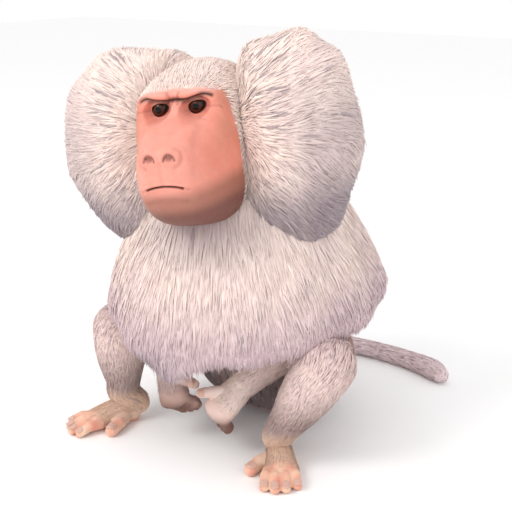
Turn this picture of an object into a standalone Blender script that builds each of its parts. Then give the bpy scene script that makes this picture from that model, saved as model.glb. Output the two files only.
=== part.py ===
"""Adult male hamadryas baboon, sitting, as a life-size still model.

Metres, +Z up. The animal faces -Y and its left side is +X. The origin is the centre of the bare seat
pad that it sits on, at floor level. The body is made as a few organic forms, lofted through short
tables of rows, and then parted into named pieces by thin cuts. Each solid reaches out to the tips
of the coat.
"""
import math

import bmesh
import bpy
import numpy as np
from mathutils import Matrix, Vector

GAP = 0.0008            # clearance between neighbouring pieces
FLOOR_SLAB = 0.05       # depth of the block that flattens the soles at the floor
FLATNESS = math.radians(2)      # neighbouring faces that differ by less are one face
RELIEF = 0.0035         # depth of the furrows between the big locks of the coat

HEAD_CENTRE = Vector((-0.007, -0.150, 0.457))


def posed(turn, nod, lean):
    """A frame at the head's centre: turned to the animal's left, muzzle dropped, and tipped towards its
    right shoulder, in degrees."""
    turn, nod, lean = (math.radians(angle) for angle in (turn, nod, lean))
    return (
        Matrix.Translation(HEAD_CENTRE)
        @ Matrix.Rotation(turn, 4, "Z")
        @ Matrix.Rotation(nod, 4, "X")
        @ Matrix.Rotation(-lean, 4, "Y")
    )


# The face turns a little further than the ruffs, which are rooted on the cheeks and the neck.
HEAD = posed(16.5, 6.5, 8)
COLLAR = posed(12, 10, 8)
EYE_RADIUS = 0.0120
EYE_SIDE, EYE_FORWARD, EYE_UP = 0.0235, 0.0640, 0.018
MOUTH_UP = -0.058       # height of the mouth line in the head's own axes
JAW_BACK = 0.040        # how far forward of the skull's centre the lower jaw starts

# Joints of the limbs, in the row frame.
LEGS = {
    "left": {
        "hip": (0.062, 0.000, 0.100), "knee": (0.172, -0.136, 0.146), "ankle": (0.113, -0.154, 0.044),
        "heel": (0.098, -0.133), "heading": 34,
    },
    "right": {
        "hip": (-0.062, -0.004, 0.098), "knee": (-0.149, -0.162, 0.136), "ankle": (-0.140, -0.168, 0.044),
        "heel": (-0.127, -0.150), "heading": -27,
    },
}
ARMS = {
    "left": {
        "elbow": (0.142, -0.050, 0.196), "wrist": (0.056, -0.156, 0.098), "palm": (0.038, -0.177, 0.070),
        "tips": (0.032, -0.168, 0.036), "thumb": (0.012, -0.190, 0.088),
    },
    "right": {
        "elbow": (-0.152, -0.092, 0.192), "wrist": (-0.062, -0.162, 0.100), "palm": (-0.044, -0.175, 0.068),
        "tips": (-0.018, -0.168, 0.051), "thumb": (0.000, -0.184, 0.095),
    },
}

PINK_SKIN = ("pink_skin", (0.84, 0.42, 0.36), 0.55)
WHITE_COAT = ("white_coat", (0.86, 0.80, 0.77), 0.85)
SHORT_COAT = ("short_coat", (0.70, 0.60, 0.60), 0.85)
HAND_SKIN = ("hand_skin", (0.78, 0.56, 0.48), 0.6)
SEAT_SKIN = ("seat_skin", (0.72, 0.30, 0.28), 0.5)
EYE_BROWN = ("eye_brown", (0.05, 0.025, 0.015), 0.1)


# ---- helpers ---------------------------------------------------------------------------------------

def clear_scene():
    for obj in list(bpy.data.objects):
        bpy.data.objects.remove(obj)


def material(look):
    """A Principled material from (name, colour, roughness), made once for each name."""
    name, colour, roughness = look
    found = bpy.data.materials.get(name)
    if found:
        return found
    made = bpy.data.materials.new(name)
    made.use_nodes = True
    shader = made.node_tree.nodes["Principled BSDF"]
    shader.inputs["Base Color"].default_value = (*colour, 1)
    shader.inputs["Roughness"].default_value = roughness
    made.diffuse_color = (*colour, 1)
    return made


def smooth_rows(rows, count):
    """Rows of numbers read at `count` even steps along a Catmull-Rom spline through a short table."""
    rows = np.array(rows, float)
    padded = np.vstack([2 * rows[0] - rows[1], rows, 2 * rows[-1] - rows[-2]])
    place = np.linspace(0, len(rows) - 1, count)
    start = np.minimum(place.astype(int), len(rows) - 2)
    t = (place - start)[:, None]
    a, b, c, d = (padded[start + step] for step in range(4))
    return 0.5 * (2 * b + (c - a) * t + (2 * a - 5 * b + 4 * c - d) * t**2 + (3 * b - a - 3 * c + d) * t**3)


def unit(vectors):
    return vectors / np.linalg.norm(vectors, axis=-1, keepdims=True)


def signed_power(values, power):
    return np.sign(values) * np.abs(values) ** power


def ring_object(name, rings, first_pole, last_pole):
    """A closed mesh through rings of points, each end drawn in to its pole."""
    count, around = rings.shape[:2]
    points = [*rings.reshape(-1, 3), first_pole, last_pole]
    faces = []
    for row in range(count - 1):
        for i in range(around):
            j = (i + 1) % around
            faces.append((row * around + i, row * around + j, (row + 1) * around + j, (row + 1) * around + i))
    last = (count - 1) * around
    for i in range(around):
        j = (i + 1) % around
        faces.append((count * around, j, i))
        faces.append((count * around + 1, last + i, last + j))
    mesh = bpy.data.meshes.new(name)
    mesh.from_pydata([tuple(p) for p in points], [], faces)
    return link(name, mesh)


def link(name, mesh):
    """An object for the mesh, with its faces turned outwards."""
    form = bmesh.new()
    form.from_mesh(mesh)
    bmesh.ops.recalc_face_normals(form, faces=form.faces)
    form.to_mesh(mesh)
    form.free()
    mesh.shade_smooth()
    obj = bpy.data.objects.new(name, mesh)
    bpy.context.scene.collection.objects.link(obj)
    return obj


def tube(name, rows, front, count=12, around=14):
    """A round-ended tube. A row is a point of its middle line, half its width and half its depth; the
    depth is measured towards `front`."""
    path = smooth_rows(rows, count)
    centre, wide, deep = path[:, :3], path[:, 3, None], path[:, 4, None]
    along = unit(np.gradient(centre, axis=0))
    side = unit(np.cross(along, np.array(front, float)))
    face = np.cross(side, along)
    angle = np.linspace(0, 2 * np.pi, around, endpoint=False)
    rings = (
        centre[:, None]
        + side[:, None] * (wide * np.cos(angle))[..., None]
        + face[:, None] * (deep * np.sin(angle))[..., None]
    )
    domes, poles = [], []
    for end, outward in ((0, -1), (-1, 1)):
        reach = 0.9 * min(path[end, 3], path[end, 4]) * outward
        poles.append(centre[end] + along[end] * reach)
        domes.append([
            centre[end] + (rings[end] - centre[end]) * math.cos(lean) + along[end] * reach * math.sin(lean)
            for lean in (math.radians(32), math.radians(62))
        ])
    rings = np.concatenate([domes[0][::-1], rings, domes[1]])
    return ring_object(name, rings, *poles)


def applied(obj):
    """The object with its modifiers worked into its mesh."""
    bpy.context.view_layer.update()
    graph = bpy.context.evaluated_depsgraph_get()
    mesh = bpy.data.meshes.new_from_object(obj.evaluated_get(graph))
    obj.modifiers.clear()
    obj.data = mesh
    return obj


def blended(name, pieces, voxel, rounds, triangles):
    """The pieces grown together into one smooth closed form of about `triangles` triangles."""
    form = bmesh.new()
    for piece in pieces:
        form.from_mesh(piece.data)
        bpy.data.objects.remove(piece)
    mesh = bpy.data.meshes.new(name)
    form.to_mesh(mesh)
    form.free()
    obj = link(name, mesh)
    remesh = obj.modifiers.new("grow", "REMESH")
    remesh.mode = "VOXEL"
    remesh.voxel_size = voxel
    smooth = obj.modifiers.new("smooth", "SMOOTH")
    smooth.factor = 0.5
    smooth.iterations = rounds
    applied(obj)
    if triangles:
        thin = obj.modifiers.new("thin", "DECIMATE")
        thin.ratio = triangles / (2 * len(obj.data.polygons))
        thin.use_collapse_triangulate = True
        applied(obj)
    return obj


def duplicate(obj, name):
    """A second object with its own copy of the mesh."""
    other = obj.copy()
    other.name = name
    other.data = obj.data.copy()
    bpy.context.scene.collection.objects.link(other)
    return other


def boolean(obj, other, operation, solver="EXACT"):
    cut = obj.modifiers.new(operation.lower(), "BOOLEAN")
    cut.operation = operation
    cut.solver = solver
    cut.object = other
    return applied(obj)


def box(name, low, high, frame=Matrix.Identity(4)):
    """A block between two corners in the given frame."""
    form = bmesh.new()
    bmesh.ops.create_cube(form, size=1)
    low, high = Vector(low), Vector(high)
    for vertex in form.verts:
        vertex.co = frame @ (low + (high - low) * (vertex.co + Vector((0.5, 0.5, 0.5))))
    mesh = bpy.data.meshes.new(name)
    form.to_mesh(mesh)
    form.free()
    return link(name, mesh)


def carve(obj, others, gap=GAP):
    """Takes each neighbour, swollen by the gap, out of the object. The exact solver loses the mantle
    where two ruffs and the skull meet in it, so these cuts use the manifold one."""
    for other in others:
        tool = duplicate(other, "tool")
        swell = tool.modifiers.new("swell", "DISPLACE")
        swell.strength = gap
        swell.mid_level = 0
        applied(tool)
        boolean(obj, tool, "DIFFERENCE", "MANIFOLD")
        bpy.data.objects.remove(tool)
    return obj


def parted(obj, name, point, normal):
    """Splits the object at a plane: it keeps the side that the normal points away from, and a new
    object takes the other side, with the gap between them."""
    other = duplicate(obj, name)
    normal = Vector(normal).normalized()
    for half, outward in ((obj, normal), (other, -normal)):
        form = bmesh.new()
        form.from_mesh(half.data)
        cut = bmesh.ops.bisect_plane(
            form, geom=[*form.verts, *form.edges, *form.faces],
            plane_co=Vector(point) - outward * GAP / 2, plane_no=outward, clear_outer=True,
        )
        rim = [edge for edge in cut["geom_cut"] if isinstance(edge, bmesh.types.BMEdge)]
        bmesh.ops.triangle_fill(form, edges=rim, use_beauty=True)
        bmesh.ops.recalc_face_normals(form, faces=form.faces)
        form.to_mesh(half.data)
        form.free()
    return other


def finished(obj, name, look):
    """Names the solid, drops the crumbs and slivers that its cuts left, and gives it its one material and
    smooth shading with crisp cut edges."""
    form = bmesh.new()
    form.from_mesh(obj.data)
    bodies = sorted(separate_bodies(form), key=len)
    bmesh.ops.delete(form, geom=[vertex for body in bodies[:-1] for vertex in body])
    bmesh.ops.dissolve_limit(form, angle_limit=FLATNESS, verts=form.verts, edges=form.edges)
    bmesh.ops.triangulate(form, faces=form.faces)
    form.to_mesh(obj.data)
    form.free()
    obj.name = name
    obj.data.name = name
    obj.data.materials.clear()
    obj.data.materials.append(material(look))
    obj.data.shade_smooth()
    obj.data.set_sharp_from_angle(angle=math.radians(50))
    return obj


def separate_bodies(form):
    """The vertices of each unconnected body of the form."""
    left = set(form.verts)
    bodies = []
    while left:
        body, rim = set(), {left.pop()}
        while rim:
            body |= rim
            rim = {edge.other_vert(vertex) for vertex in rim for edge in vertex.link_edges} - body
        left -= body
        bodies.append(body)
    return bodies


def floor_block():
    return box("floor_block", (-1, -1, -FLOOR_SLAB), (1, 1, 0))


# ---- head ------------------------------------------------------------------------------------------

# Cross-sections of the head from the back of the skull to the nose, in the head's own axes:
# (forward, top, widest level, bottom, half width, squareness)
HEAD_ROWS = [
    (-0.078, 0.026, -0.005, -0.045, 0.040, 2.0),
    (-0.055, 0.046, 0.000, -0.066, 0.057, 2.0),
    (-0.020, 0.057, -0.004, -0.084, 0.065, 2.1),
    (0.015, 0.058, -0.014, -0.106, 0.067, 2.4),
    (0.042, 0.053, -0.032, -0.122, 0.067, 2.9),
    (0.060, 0.046, -0.044, -0.127, 0.065, 3.2),
    (0.072, 0.040, -0.050, -0.127, 0.062, 3.3),
    (0.081, 0.024, -0.052, -0.126, 0.059, 3.2),
    (0.092, 0.012, -0.055, -0.123, 0.056, 3.0),
    (0.106, 0.006, -0.057, -0.118, 0.052, 2.8),
    (0.123, 0.000, -0.058, -0.110, 0.046, 2.7),
    (0.137, -0.005, -0.058, -0.101, 0.040, 2.6),
    (0.147, -0.010, -0.056, -0.090, 0.034, 2.5),
    (0.153, -0.019, -0.054, -0.075, 0.025, 2.3),
]
HEAD_ENDS = ((-0.088, -0.006), (0.1565, -0.049))  # (forward, up) of the two poles
# Soft swellings and hollows: (side, forward, up), (reach in each direction), (push in each direction)
HEAD_SWELLS = [
    ((0.026, 0.078, 0.037), (0.022, 0.012, 0.008), (0.000, 0.0080, 0.0020)),    # brow ridge
    ((0.044, 0.064, 0.024), (0.010, 0.012, 0.014), (0.004, 0.0030, 0.0000)),    # outer rim of the orbit
    ((0.0235, 0.082, 0.017), (0.0125, 0.014, 0.010), (0.000, -0.0150, 0.0000)),  # eye socket
    ((0.024, 0.112, -0.006), (0.010, 0.028, 0.012), (0.003, 0.0000, 0.0030)),   # ridge beside the nose
    ((0.011, 0.149, -0.018), (0.010, 0.010, 0.010), (0.001, 0.0035, 0.0015)),   # nostril mound
    ((0.046, 0.060, -0.022), (0.016, 0.022, 0.020), (0.005, 0.0000, 0.0000)),   # cheek bone
]


def head_points(points, frame=HEAD):
    """Row-frame points from (side, forward, up) in the axes of the head, or of the collar of ruffs."""
    points = np.asarray(points, float)
    local = np.stack([points[..., 0], -points[..., 1], points[..., 2]], axis=-1)
    turn = np.array(frame.to_3x3())
    return local @ turn.T + np.array(frame.translation)


def swollen(points, swells):
    """Points pushed by each swelling, which fades as a bell curve and is mirrored to both sides."""
    moved = points.copy()
    for centre, reach, push in swells:
        for mirror in (1, -1):
            flip = np.array((mirror, 1, 1))
            away = (points - np.array(centre) * flip) / np.array(reach)
            moved += np.exp(-(away**2).sum(-1))[..., None] * np.array(push) * flip
    return moved


def make_skull():
    """Skull, muzzle and jaw as one form."""
    rows = smooth_rows(HEAD_ROWS, 20)
    angle = np.linspace(0, 2 * np.pi, 22, endpoint=False)
    power = 2 / rows[:, 5, None]
    wide = rows[:, 4, None] * signed_power(np.cos(angle), power)
    rise = signed_power(np.sin(angle), power)
    height = np.where(rise > 0, rows[:, 1, None] - rows[:, 2, None], rows[:, 2, None] - rows[:, 3, None])
    up = rows[:, 2, None] + height * rise
    forward = np.broadcast_to(rows[:, 0, None], up.shape)
    rings = swollen(np.stack([wide, forward, up], axis=-1), HEAD_SWELLS)
    poles = head_points([(0, *end) for end in HEAD_ENDS])
    return ring_object("skull", head_points(rings), *poles)


def ball(name, centre, radii, frame=Matrix.Identity(4), rings=10, around=16):
    """An ellipsoid at a point of the given frame, its poles along the frame's Y."""
    lean = np.linspace(0, np.pi, rings + 1)[1:-1, None]
    angle = np.linspace(0, 2 * np.pi, around, endpoint=False)
    local = np.stack(
        [np.sin(lean) * np.cos(angle), np.cos(lean) + 0 * angle, np.sin(lean) * np.sin(angle)], axis=-1
    )
    turn, shift = np.array(frame.to_3x3()), np.array(frame.translation)
    place = lambda unit_points: (np.array(centre) + unit_points * np.array(radii)) @ turn.T + shift
    return ring_object(name, place(local), place(np.array((0, 1, 0))), place(np.array((0, -1, 0))))


def make_head():
    """Head, jaw and eyes, and the whole skull as a tool for cutting their neighbours."""
    skull = make_skull()
    whole = duplicate(skull, "whole_skull")
    for side in (1, -1):
        nostril = ball("nostril", (side * 0.0110, -0.1560, -0.0215), (0.0056, 0.0062, 0.0036), HEAD, 6, 8)
        boolean(skull, nostril, "DIFFERENCE")
        bpy.data.objects.remove(nostril)
    jaw_block = box("jaw_block", (-0.1, -0.2, -0.2), (0.1, -JAW_BACK, MOUTH_UP), HEAD)
    jaw = duplicate(skull, "jaw")
    boolean(jaw, jaw_block, "INTERSECT")
    carve(skull, [jaw_block])
    bpy.data.objects.remove(jaw_block)
    eyes = []
    for side, name in ((1, "eye_left"), (-1, "eye_right")):
        eye = ball(name, (side * EYE_SIDE, -EYE_FORWARD, EYE_UP), (EYE_RADIUS,) * 3, HEAD, 7, 10)
        eyes.append(finished(eye, name, EYE_BROWN))
    carve(skull, eyes)
    finished(skull, "head", PINK_SKIN)
    finished(jaw, "jaw", PINK_SKIN)
    return whole


# ---- coat masses: ruffs, nape, mantle -----------------------------------------------------------------

# Cheek ruff in the collar's axes: centre (side, forward, up) and reach each way.
RUFF_CENTRE = (0.114, -0.008, -0.061)
RUFF_REACH = (0.084, 0.080, 0.139)
RUFF_SQUARENESS = 0.74  # power on the sine and cosine of its outline; 1 is an ellipse
RUFF_LEAN, RUFF_WRAP = 0.22, 0.40
RUFF_BEHIND = 1.4       # how much deeper it is behind its centre than in front
RUFF_TUCK_UP = {1: -0.06, -1: 0.11}   # the head leans, so the ruff of the low side stands further out
RUFF_TUCK_DOWN = 0.32
RUFF_LOCKS = 9          # big locks round each ruff


def make_ruff(side, name):
    """The big whisker ruff of one cheek: a bulging mass that springs from beside the face and lies back."""
    lean = np.linspace(0, np.pi, 14)[1:-1, None]
    angle = np.linspace(0, 2 * np.pi, 36, endpoint=False)[None]
    out = np.sin(lean) * signed_power(np.cos(angle), RUFF_SQUARENESS)
    up = np.sin(lean) * signed_power(np.sin(angle), RUFF_SQUARENESS)
    furrow = 1 + RELIEF / RUFF_REACH[2] * np.cos(RUFF_LOCKS * angle) * np.sin(lean) ** 2
    unit_rings = np.stack([out * furrow, np.cos(lean) + 0 * angle, up * furrow], axis=-1)

    def leaned(points):
        """The front leans out from the face, the back wraps in towards the nape, and both ends tuck in, over
        the crown and under the jaw."""
        placed = points * np.array(RUFF_REACH)
        placed[..., 1] *= np.where(placed[..., 1] < 0, RUFF_BEHIND, 1)
        ahead, rise = placed[..., 1].copy(), placed[..., 2].copy()
        placed[..., 0] += RUFF_LEAN * np.maximum(ahead, 0) + RUFF_WRAP * np.minimum(ahead, 0)
        placed[..., 0] += RUFF_TUCK_DOWN * np.minimum(rise, 0) - RUFF_TUCK_UP[side] * np.maximum(rise, 0)
        return placed + np.array(RUFF_CENTRE)

    rings = leaned(unit_rings)
    poles = leaned(np.array([(0.0, 1, 0), (0, -1, 0)]))
    flip = np.array((side, 1, 1))
    return ring_object(name, head_points(rings * flip, COLLAR), *head_points(poles * flip, COLLAR))


# Mantle: rows of (height, forward shift, half width, half depth, slope of the ring towards the front)
MANTLE_ROWS = [
    (0.405, -0.100, 0.070, 0.066, 0.30),
    (0.380, -0.097, 0.102, 0.096, 0.26),
    (0.345, -0.093, 0.126, 0.121, 0.22),
    (0.300, -0.084, 0.150, 0.147, 0.19),
    (0.255, -0.074, 0.170, 0.170, 0.17),
    (0.220, -0.066, 0.182, 0.184, 0.15),
    (0.195, -0.062, 0.186, 0.190, 0.14),
    (0.182, -0.060, 0.181, 0.187, 0.14),
]
MANTLE_UNDER = [(0.188, -0.056, 0.152, 0.158, 0.13), (0.196, -0.050, 0.118, 0.122, 0.12)]
MANTLE_POLES = ((0, -0.102, 0.420), (0, -0.046, 0.200))
BIB_DROP, BIB_SPREAD = 0.026, 14    # how far the coat hangs lower at the middle of the chest, and degrees
MANTLE_LOCKS = 13


def tilted_rings(rows, around, locks=0, bib=0):
    """Rings that slope down towards the front, furrowed between the big locks. `bib` lowers their front."""
    rows = np.array(rows)
    height, shift, wide, deep, slope = (rows[:, k, None] for k in range(5))
    angle = np.linspace(0, 2 * np.pi, around, endpoint=False)
    hang = np.linspace(0, 1, len(rows))[:, None]
    furrow = 1 + RELIEF * hang / wide * np.cos(locks * angle)
    across = wide * furrow * np.cos(angle)
    along = deep * furrow * np.sin(angle)
    from_front = np.degrees(angle) - 270
    up = height + slope * along - bib * hang**2 * np.exp(-((from_front / BIB_SPREAD) ** 2))
    return np.stack([across, shift + along, up], axis=-1)


def make_mantle():
    """The cape of long hair over shoulders and back, which hangs as a bell down to its hem."""
    outer = tilted_rings(smooth_rows(MANTLE_ROWS, 9), 39, MANTLE_LOCKS, BIB_DROP)
    under = tilted_rings(MANTLE_UNDER, 39)
    return ring_object("mantle", np.concatenate([outer, under]), *np.array(MANTLE_POLES))


NAPE_ROWS = [
    (0.300, -0.072, 0.100, 0.090, 0.10),
    (0.350, -0.078, 0.112, 0.096, 0.12),
    (0.400, -0.090, 0.108, 0.090, 0.14),
    (0.440, -0.100, 0.095, 0.080, 0.14),
    (0.475, -0.108, 0.074, 0.065, 0.12),
    (0.498, -0.112, 0.046, 0.043, 0.08),
]
NAPE_POLES = ((0, -0.072, 0.285), (0, -0.114, 0.508))


def make_nape():
    """The mane from the crown down the nape to the shoulders, between the two ruffs."""
    return ring_object("nape", tilted_rings(smooth_rows(NAPE_ROWS, 8), 20), *np.array(NAPE_POLES))


# ---- rump, seat, tail ------------------------------------------------------------------------------

RUMP_ROWS = [
    (0.006, 0.004, 0.062, 0.036, 0.0),
    (0.020, 0.004, 0.088, 0.066, 0.0),
    (0.050, 0.002, 0.108, 0.094, 0.0),
    (0.085, -0.002, 0.116, 0.106, 0.0),
    (0.125, -0.012, 0.116, 0.108, 0.0),
    (0.165, -0.028, 0.112, 0.106, 0.05),
    (0.205, -0.044, 0.104, 0.100, 0.10),
]
RUMP_POLES = ((0, 0.004, 0.0015), (0, -0.052, 0.232))
TAIL_ROWS = [
    (0.000, 0.060, 0.088, 0.022, 0.022),
    (-0.010, 0.118, 0.078, 0.0205, 0.0205),
    (-0.030, 0.165, 0.050, 0.0170, 0.0165),
    (-0.024, 0.212, 0.021, 0.0150, 0.0145),
    (0.020, 0.236, 0.0125, 0.0140, 0.0138),
    (0.075, 0.236, 0.0120, 0.0140, 0.0138),
    (0.130, 0.227, 0.0125, 0.0155, 0.0146),
    (0.162, 0.215, 0.0130, 0.0165, 0.0150),
    (0.181, 0.203, 0.0120, 0.0120, 0.0125),
]
TAIL_CUTS = {"tail_middle": (0.020, 0.2355, 0.015), "tail_tuft": (0.118, 0.229, 0.015)}


def make_rump():
    rings = tilted_rings(smooth_rows(RUMP_ROWS, 9), 22)
    return ring_object("rump", rings, *np.array(RUMP_POLES))


def make_seat_pad():
    """The bare callosity of the seat, grown together across the middle as in males, flat underneath."""
    pads = [ball("pad", (side * 0.021, 0, 0.0070), (0.031, 0.027, 0.0140)) for side in (1, -1)]
    return blended("seat_pad", pads, 0.0016, 6, 150)


def make_tail():
    """The tail, which drops to the floor behind the rump and curls round to the animal's left."""
    tail = tube("tail_root", TAIL_ROWS, (0, 0, 1), count=24, around=10)
    tool = duplicate(tail, "whole_tail")
    middle = parted(tail, "tail_middle", TAIL_CUTS["tail_middle"], (1, 0.05, 0))
    tuft = parted(middle, "tail_tuft", TAIL_CUTS["tail_tuft"], (1, -0.25, 0))
    return [tail, middle, tuft], tool


# ---- limbs -----------------------------------------------------------------------------------------

def between(a, b, share):
    return np.array(a) + (np.array(b) - np.array(a)) * share


def row(point, wide, deep):
    return (*point, wide, deep)


# Foot in its own axes: forward from the heel, outwards, up. Toes are (base, knuckle, tip) with radii.
SOLE_ROWS = [  # (forward, outwards, up, half width, half height)
    (0.013, 0.000, 0.0125, 0.0155, 0.0155),
    (0.030, 0.001, 0.0160, 0.0180, 0.0195),
    (0.047, 0.002, 0.0140, 0.0195, 0.0170),
    (0.064, 0.003, 0.0105, 0.0225, 0.0135),
    (0.075, 0.003, 0.0085, 0.0230, 0.0110),
]
TOE_SPREAD = (-0.0160, -0.0052, 0.0062, 0.0180)   # outward place of the four outer toes' bases
TOE_BASE = 0.066                                  # how far forward of the heel they start
TOE_REACH = (0.099, 0.105, 0.103, 0.095)          # how far forward each tip comes
TOE_RADIUS = 0.0074
BIG_TOE = [(0.032, -0.012, 0.0105, 0.0120, 0.0110), (0.045, -0.026, 0.0105, 0.0105, 0.0100),
           (0.059, -0.037, 0.0075, 0.0090, 0.0090)]


def foot_pieces(leg, side):
    """Sole, big toe and four toes, each as a tube in the row frame."""
    turn = math.radians(leg["heading"])
    ahead = np.array((math.sin(turn), -math.cos(turn), 0))
    out = np.array((math.cos(turn), math.sin(turn), 0)) * side
    heel = np.array((*leg["heel"], 0))

    def placed(rows):
        return [
            (*(heel + ahead * f + out * o + np.array((0, 0, u))), wide, high) for f, o, u, wide, high in rows
        ]

    pieces = [tube("sole", placed(SOLE_ROWS), (0, 0, 1)), tube("big_toe", placed(BIG_TOE), (0, 0, 1), 7, 10)]
    for spread, reach in zip(TOE_SPREAD, TOE_REACH):
        toe = [
            (TOE_BASE, spread * 0.95, 0.0105, TOE_RADIUS, TOE_RADIUS),
            ((TOE_BASE + reach) / 2, spread * 1.12, 0.0115, TOE_RADIUS, TOE_RADIUS),
            (reach, spread * 1.22, 0.0052, TOE_RADIUS * 0.9, TOE_RADIUS * 0.85),
        ]
        pieces.append(tube("toe", placed(toe), (0, 0, 1), 7, 10))
    return pieces


def make_leg(side_name):
    """One leg grown together from thigh, shank and foot, then parted at the knee and above the ankle."""
    leg = LEGS[side_name]
    side = 1 if side_name == "left" else -1
    hip, knee, ankle = leg["hip"], leg["knee"], leg["ankle"]
    heel = (*leg["heel"], 0.022)
    thigh = [
        row(hip, 0.060, 0.056), row(between(hip, knee, 0.35), 0.056, 0.050),
        row(between(hip, knee, 0.7), 0.046, 0.042), row(knee, 0.037, 0.036),
    ]
    shank = [
        row(knee, 0.037, 0.037), row(between(knee, ankle, 0.25), 0.036, 0.037),
        row(between(knee, ankle, 0.55), 0.0315, 0.032), row(between(knee, ankle, 0.8), 0.0245, 0.025),
        row(ankle, 0.0205, 0.023), row(heel, 0.0165, 0.0175),
    ]
    pieces = [tube("thigh", thigh, (0, -1, 1)), tube("shank", shank, (0, -1, 0.2), 16)]
    pieces += foot_pieces(leg, side)
    whole = blended(f"thigh_{side_name}", pieces, 0.0030, 5, 1040)
    block = floor_block()
    boolean(whole, block, "DIFFERENCE")
    bpy.data.objects.remove(block)
    tool = duplicate(whole, "whole_leg")
    bend = (Vector(ankle) - Vector(knee)).normalized() - (Vector(hip) - Vector(knee)).normalized()
    shin = parted(whole, f"shank_{side_name}", knee, bend)
    foot = parted(shin, f"foot_{side_name}", (0, 0, 0.056), (0, 0, -1))
    return [whole, shin, foot, tool]


FINGER_RADIUS = 0.0070
FINGER_SPREAD = (-0.0165, -0.0055, 0.0055, 0.0155)
FINGER_SHORT = (0.90, 1.0, 0.98, 0.84)


def make_arm(side_name):
    """Forearm with a hanging hand, its fingers half closed, parted at the wrist."""
    arm = {key: np.array(value) for key, value in ARMS[side_name].items()}
    elbow, wrist, palm, tips = arm["elbow"], arm["wrist"], arm["palm"], arm["tips"]
    outward = np.array((1.0 if side_name == "left" else -1.0, 0, 0))
    forearm = [
        row(elbow, 0.031, 0.031), row(between(elbow, wrist, 0.25), 0.031, 0.032),
        row(between(elbow, wrist, 0.55), 0.027, 0.028), row(between(elbow, wrist, 0.85), 0.021, 0.021),
        row(wrist, 0.0195, 0.018),
    ]
    down = unit(palm - wrist)
    front = unit(np.cross(outward, down)) * outward[0]
    knuckles = palm + down * 0.010
    palm_rows = [row(wrist, 0.0185, 0.0165), row(palm, 0.0235, 0.0145), row(knuckles, 0.0235, 0.0125)]
    pieces = [tube("forearm", forearm, (0, -1, 1)), tube("palm", palm_rows, tuple(front), 7)]
    across = unit(np.cross(down, front))
    for spread, share in zip(FINGER_SPREAD, FINGER_SHORT):
        base = knuckles + across * spread
        curl = tips + across * spread * 0.8 + (knuckles - tips) * (1 - share)
        bend = (base + curl) / 2 + front * 0.010
        finger = [row(base, FINGER_RADIUS, FINGER_RADIUS), row(bend, FINGER_RADIUS, FINGER_RADIUS),
                  row(curl, FINGER_RADIUS * 0.85, FINGER_RADIUS * 0.85)]
        pieces.append(tube("finger", finger, tuple(front), 7, 10))
    thumb_root = between(wrist, palm, 0.45) + (arm["thumb"] - palm) * 0.25
    thumb = [row(thumb_root, 0.0095, 0.0095), row(between(thumb_root, arm["thumb"], 0.6), 0.0082, 0.0082),
             row(arm["thumb"], 0.0066, 0.0066)]
    pieces.append(tube("thumb", thumb, (0, -1, 0.3), 7, 10))
    whole = blended(f"forearm_{side_name}", pieces, 0.0028, 4, 640)
    tool = duplicate(whole, "whole_arm")
    hand = parted(whole, f"hand_{side_name}", wrist + (elbow - wrist) * 0.03, wrist - elbow)
    return [whole, hand, tool]


# ---- the whole animal ------------------------------------------------------------------------------

def main():
    clear_scene()
    skull = make_head()
    ruffs = [make_ruff(1, "ruff_left"), make_ruff(-1, "ruff_right")]
    nape, mantle, rump, seat_pad = make_nape(), make_mantle(), make_rump(), make_seat_pad()
    tail, tail_tool = make_tail()
    legs = {name: make_leg(name) for name in LEGS}
    arms = {name: make_arm(name) for name in ARMS}
    leg_tools = [leg.pop() for leg in legs.values()]
    arm_tools = [arm.pop() for arm in arms.values()]

    # Every cut is made with a whole, uncut neighbour, so that no thin shell is left between two cuts.
    ruff_tools = [duplicate(ruff, "whole_ruff") for ruff in ruffs]
    nape_tool = duplicate(nape, "whole_nape")
    mantle_tool, rump_tool = duplicate(mantle, "whole_mantle"), duplicate(rump, "whole_rump")
    block = floor_block()
    for piece in (seat_pad, *tail):
        boolean(piece, block, "DIFFERENCE")
    for ruff in ruffs:
        carve(ruff, [skull])
    carve(ruffs[1], [ruff_tools[0]])
    carve(nape, [skull, *ruff_tools])
    carve(mantle, [skull, *ruff_tools, nape_tool])
    carve(rump, [seat_pad, tail_tool, mantle_tool])
    for (thigh, shank, _), (forearm, _), arm_tool in zip(legs.values(), arms.values(), arm_tools):
        carve(forearm, [mantle_tool, rump_tool])
        carve(thigh, [mantle_tool, rump_tool, arm_tool])
        carve(shank, [mantle_tool, arm_tool])
    tools = (block, skull, *ruff_tools, nape_tool, mantle_tool, rump_tool, tail_tool, *leg_tools, *arm_tools)
    for tool in tools:
        bpy.data.objects.remove(tool)

    finished(nape, "nape", WHITE_COAT)
    finished(mantle, "mantle", WHITE_COAT)
    finished(rump, "rump", SHORT_COAT)
    finished(seat_pad, "seat_pad", SEAT_SKIN)
    for piece, name in zip(tail, ("tail_root", "tail_middle", "tail_tuft")):
        finished(piece, name, SHORT_COAT)
    for side, ruff in zip(LEGS, ruffs):
        finished(ruff, f"ruff_{side}", WHITE_COAT)
        for piece, name, look in zip(legs[side], ("thigh", "shank", "foot"), (SHORT_COAT, SHORT_COAT, HAND_SKIN)):
            finished(piece, f"{name}_{side}", look)
        for piece, name, look in zip(arms[side], ("forearm", "hand"), (SHORT_COAT, HAND_SKIN)):
            finished(piece, f"{name}_{side}", look)


main()
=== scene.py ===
import math

import bpy
import numpy as np
from mathutils import Matrix


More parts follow.
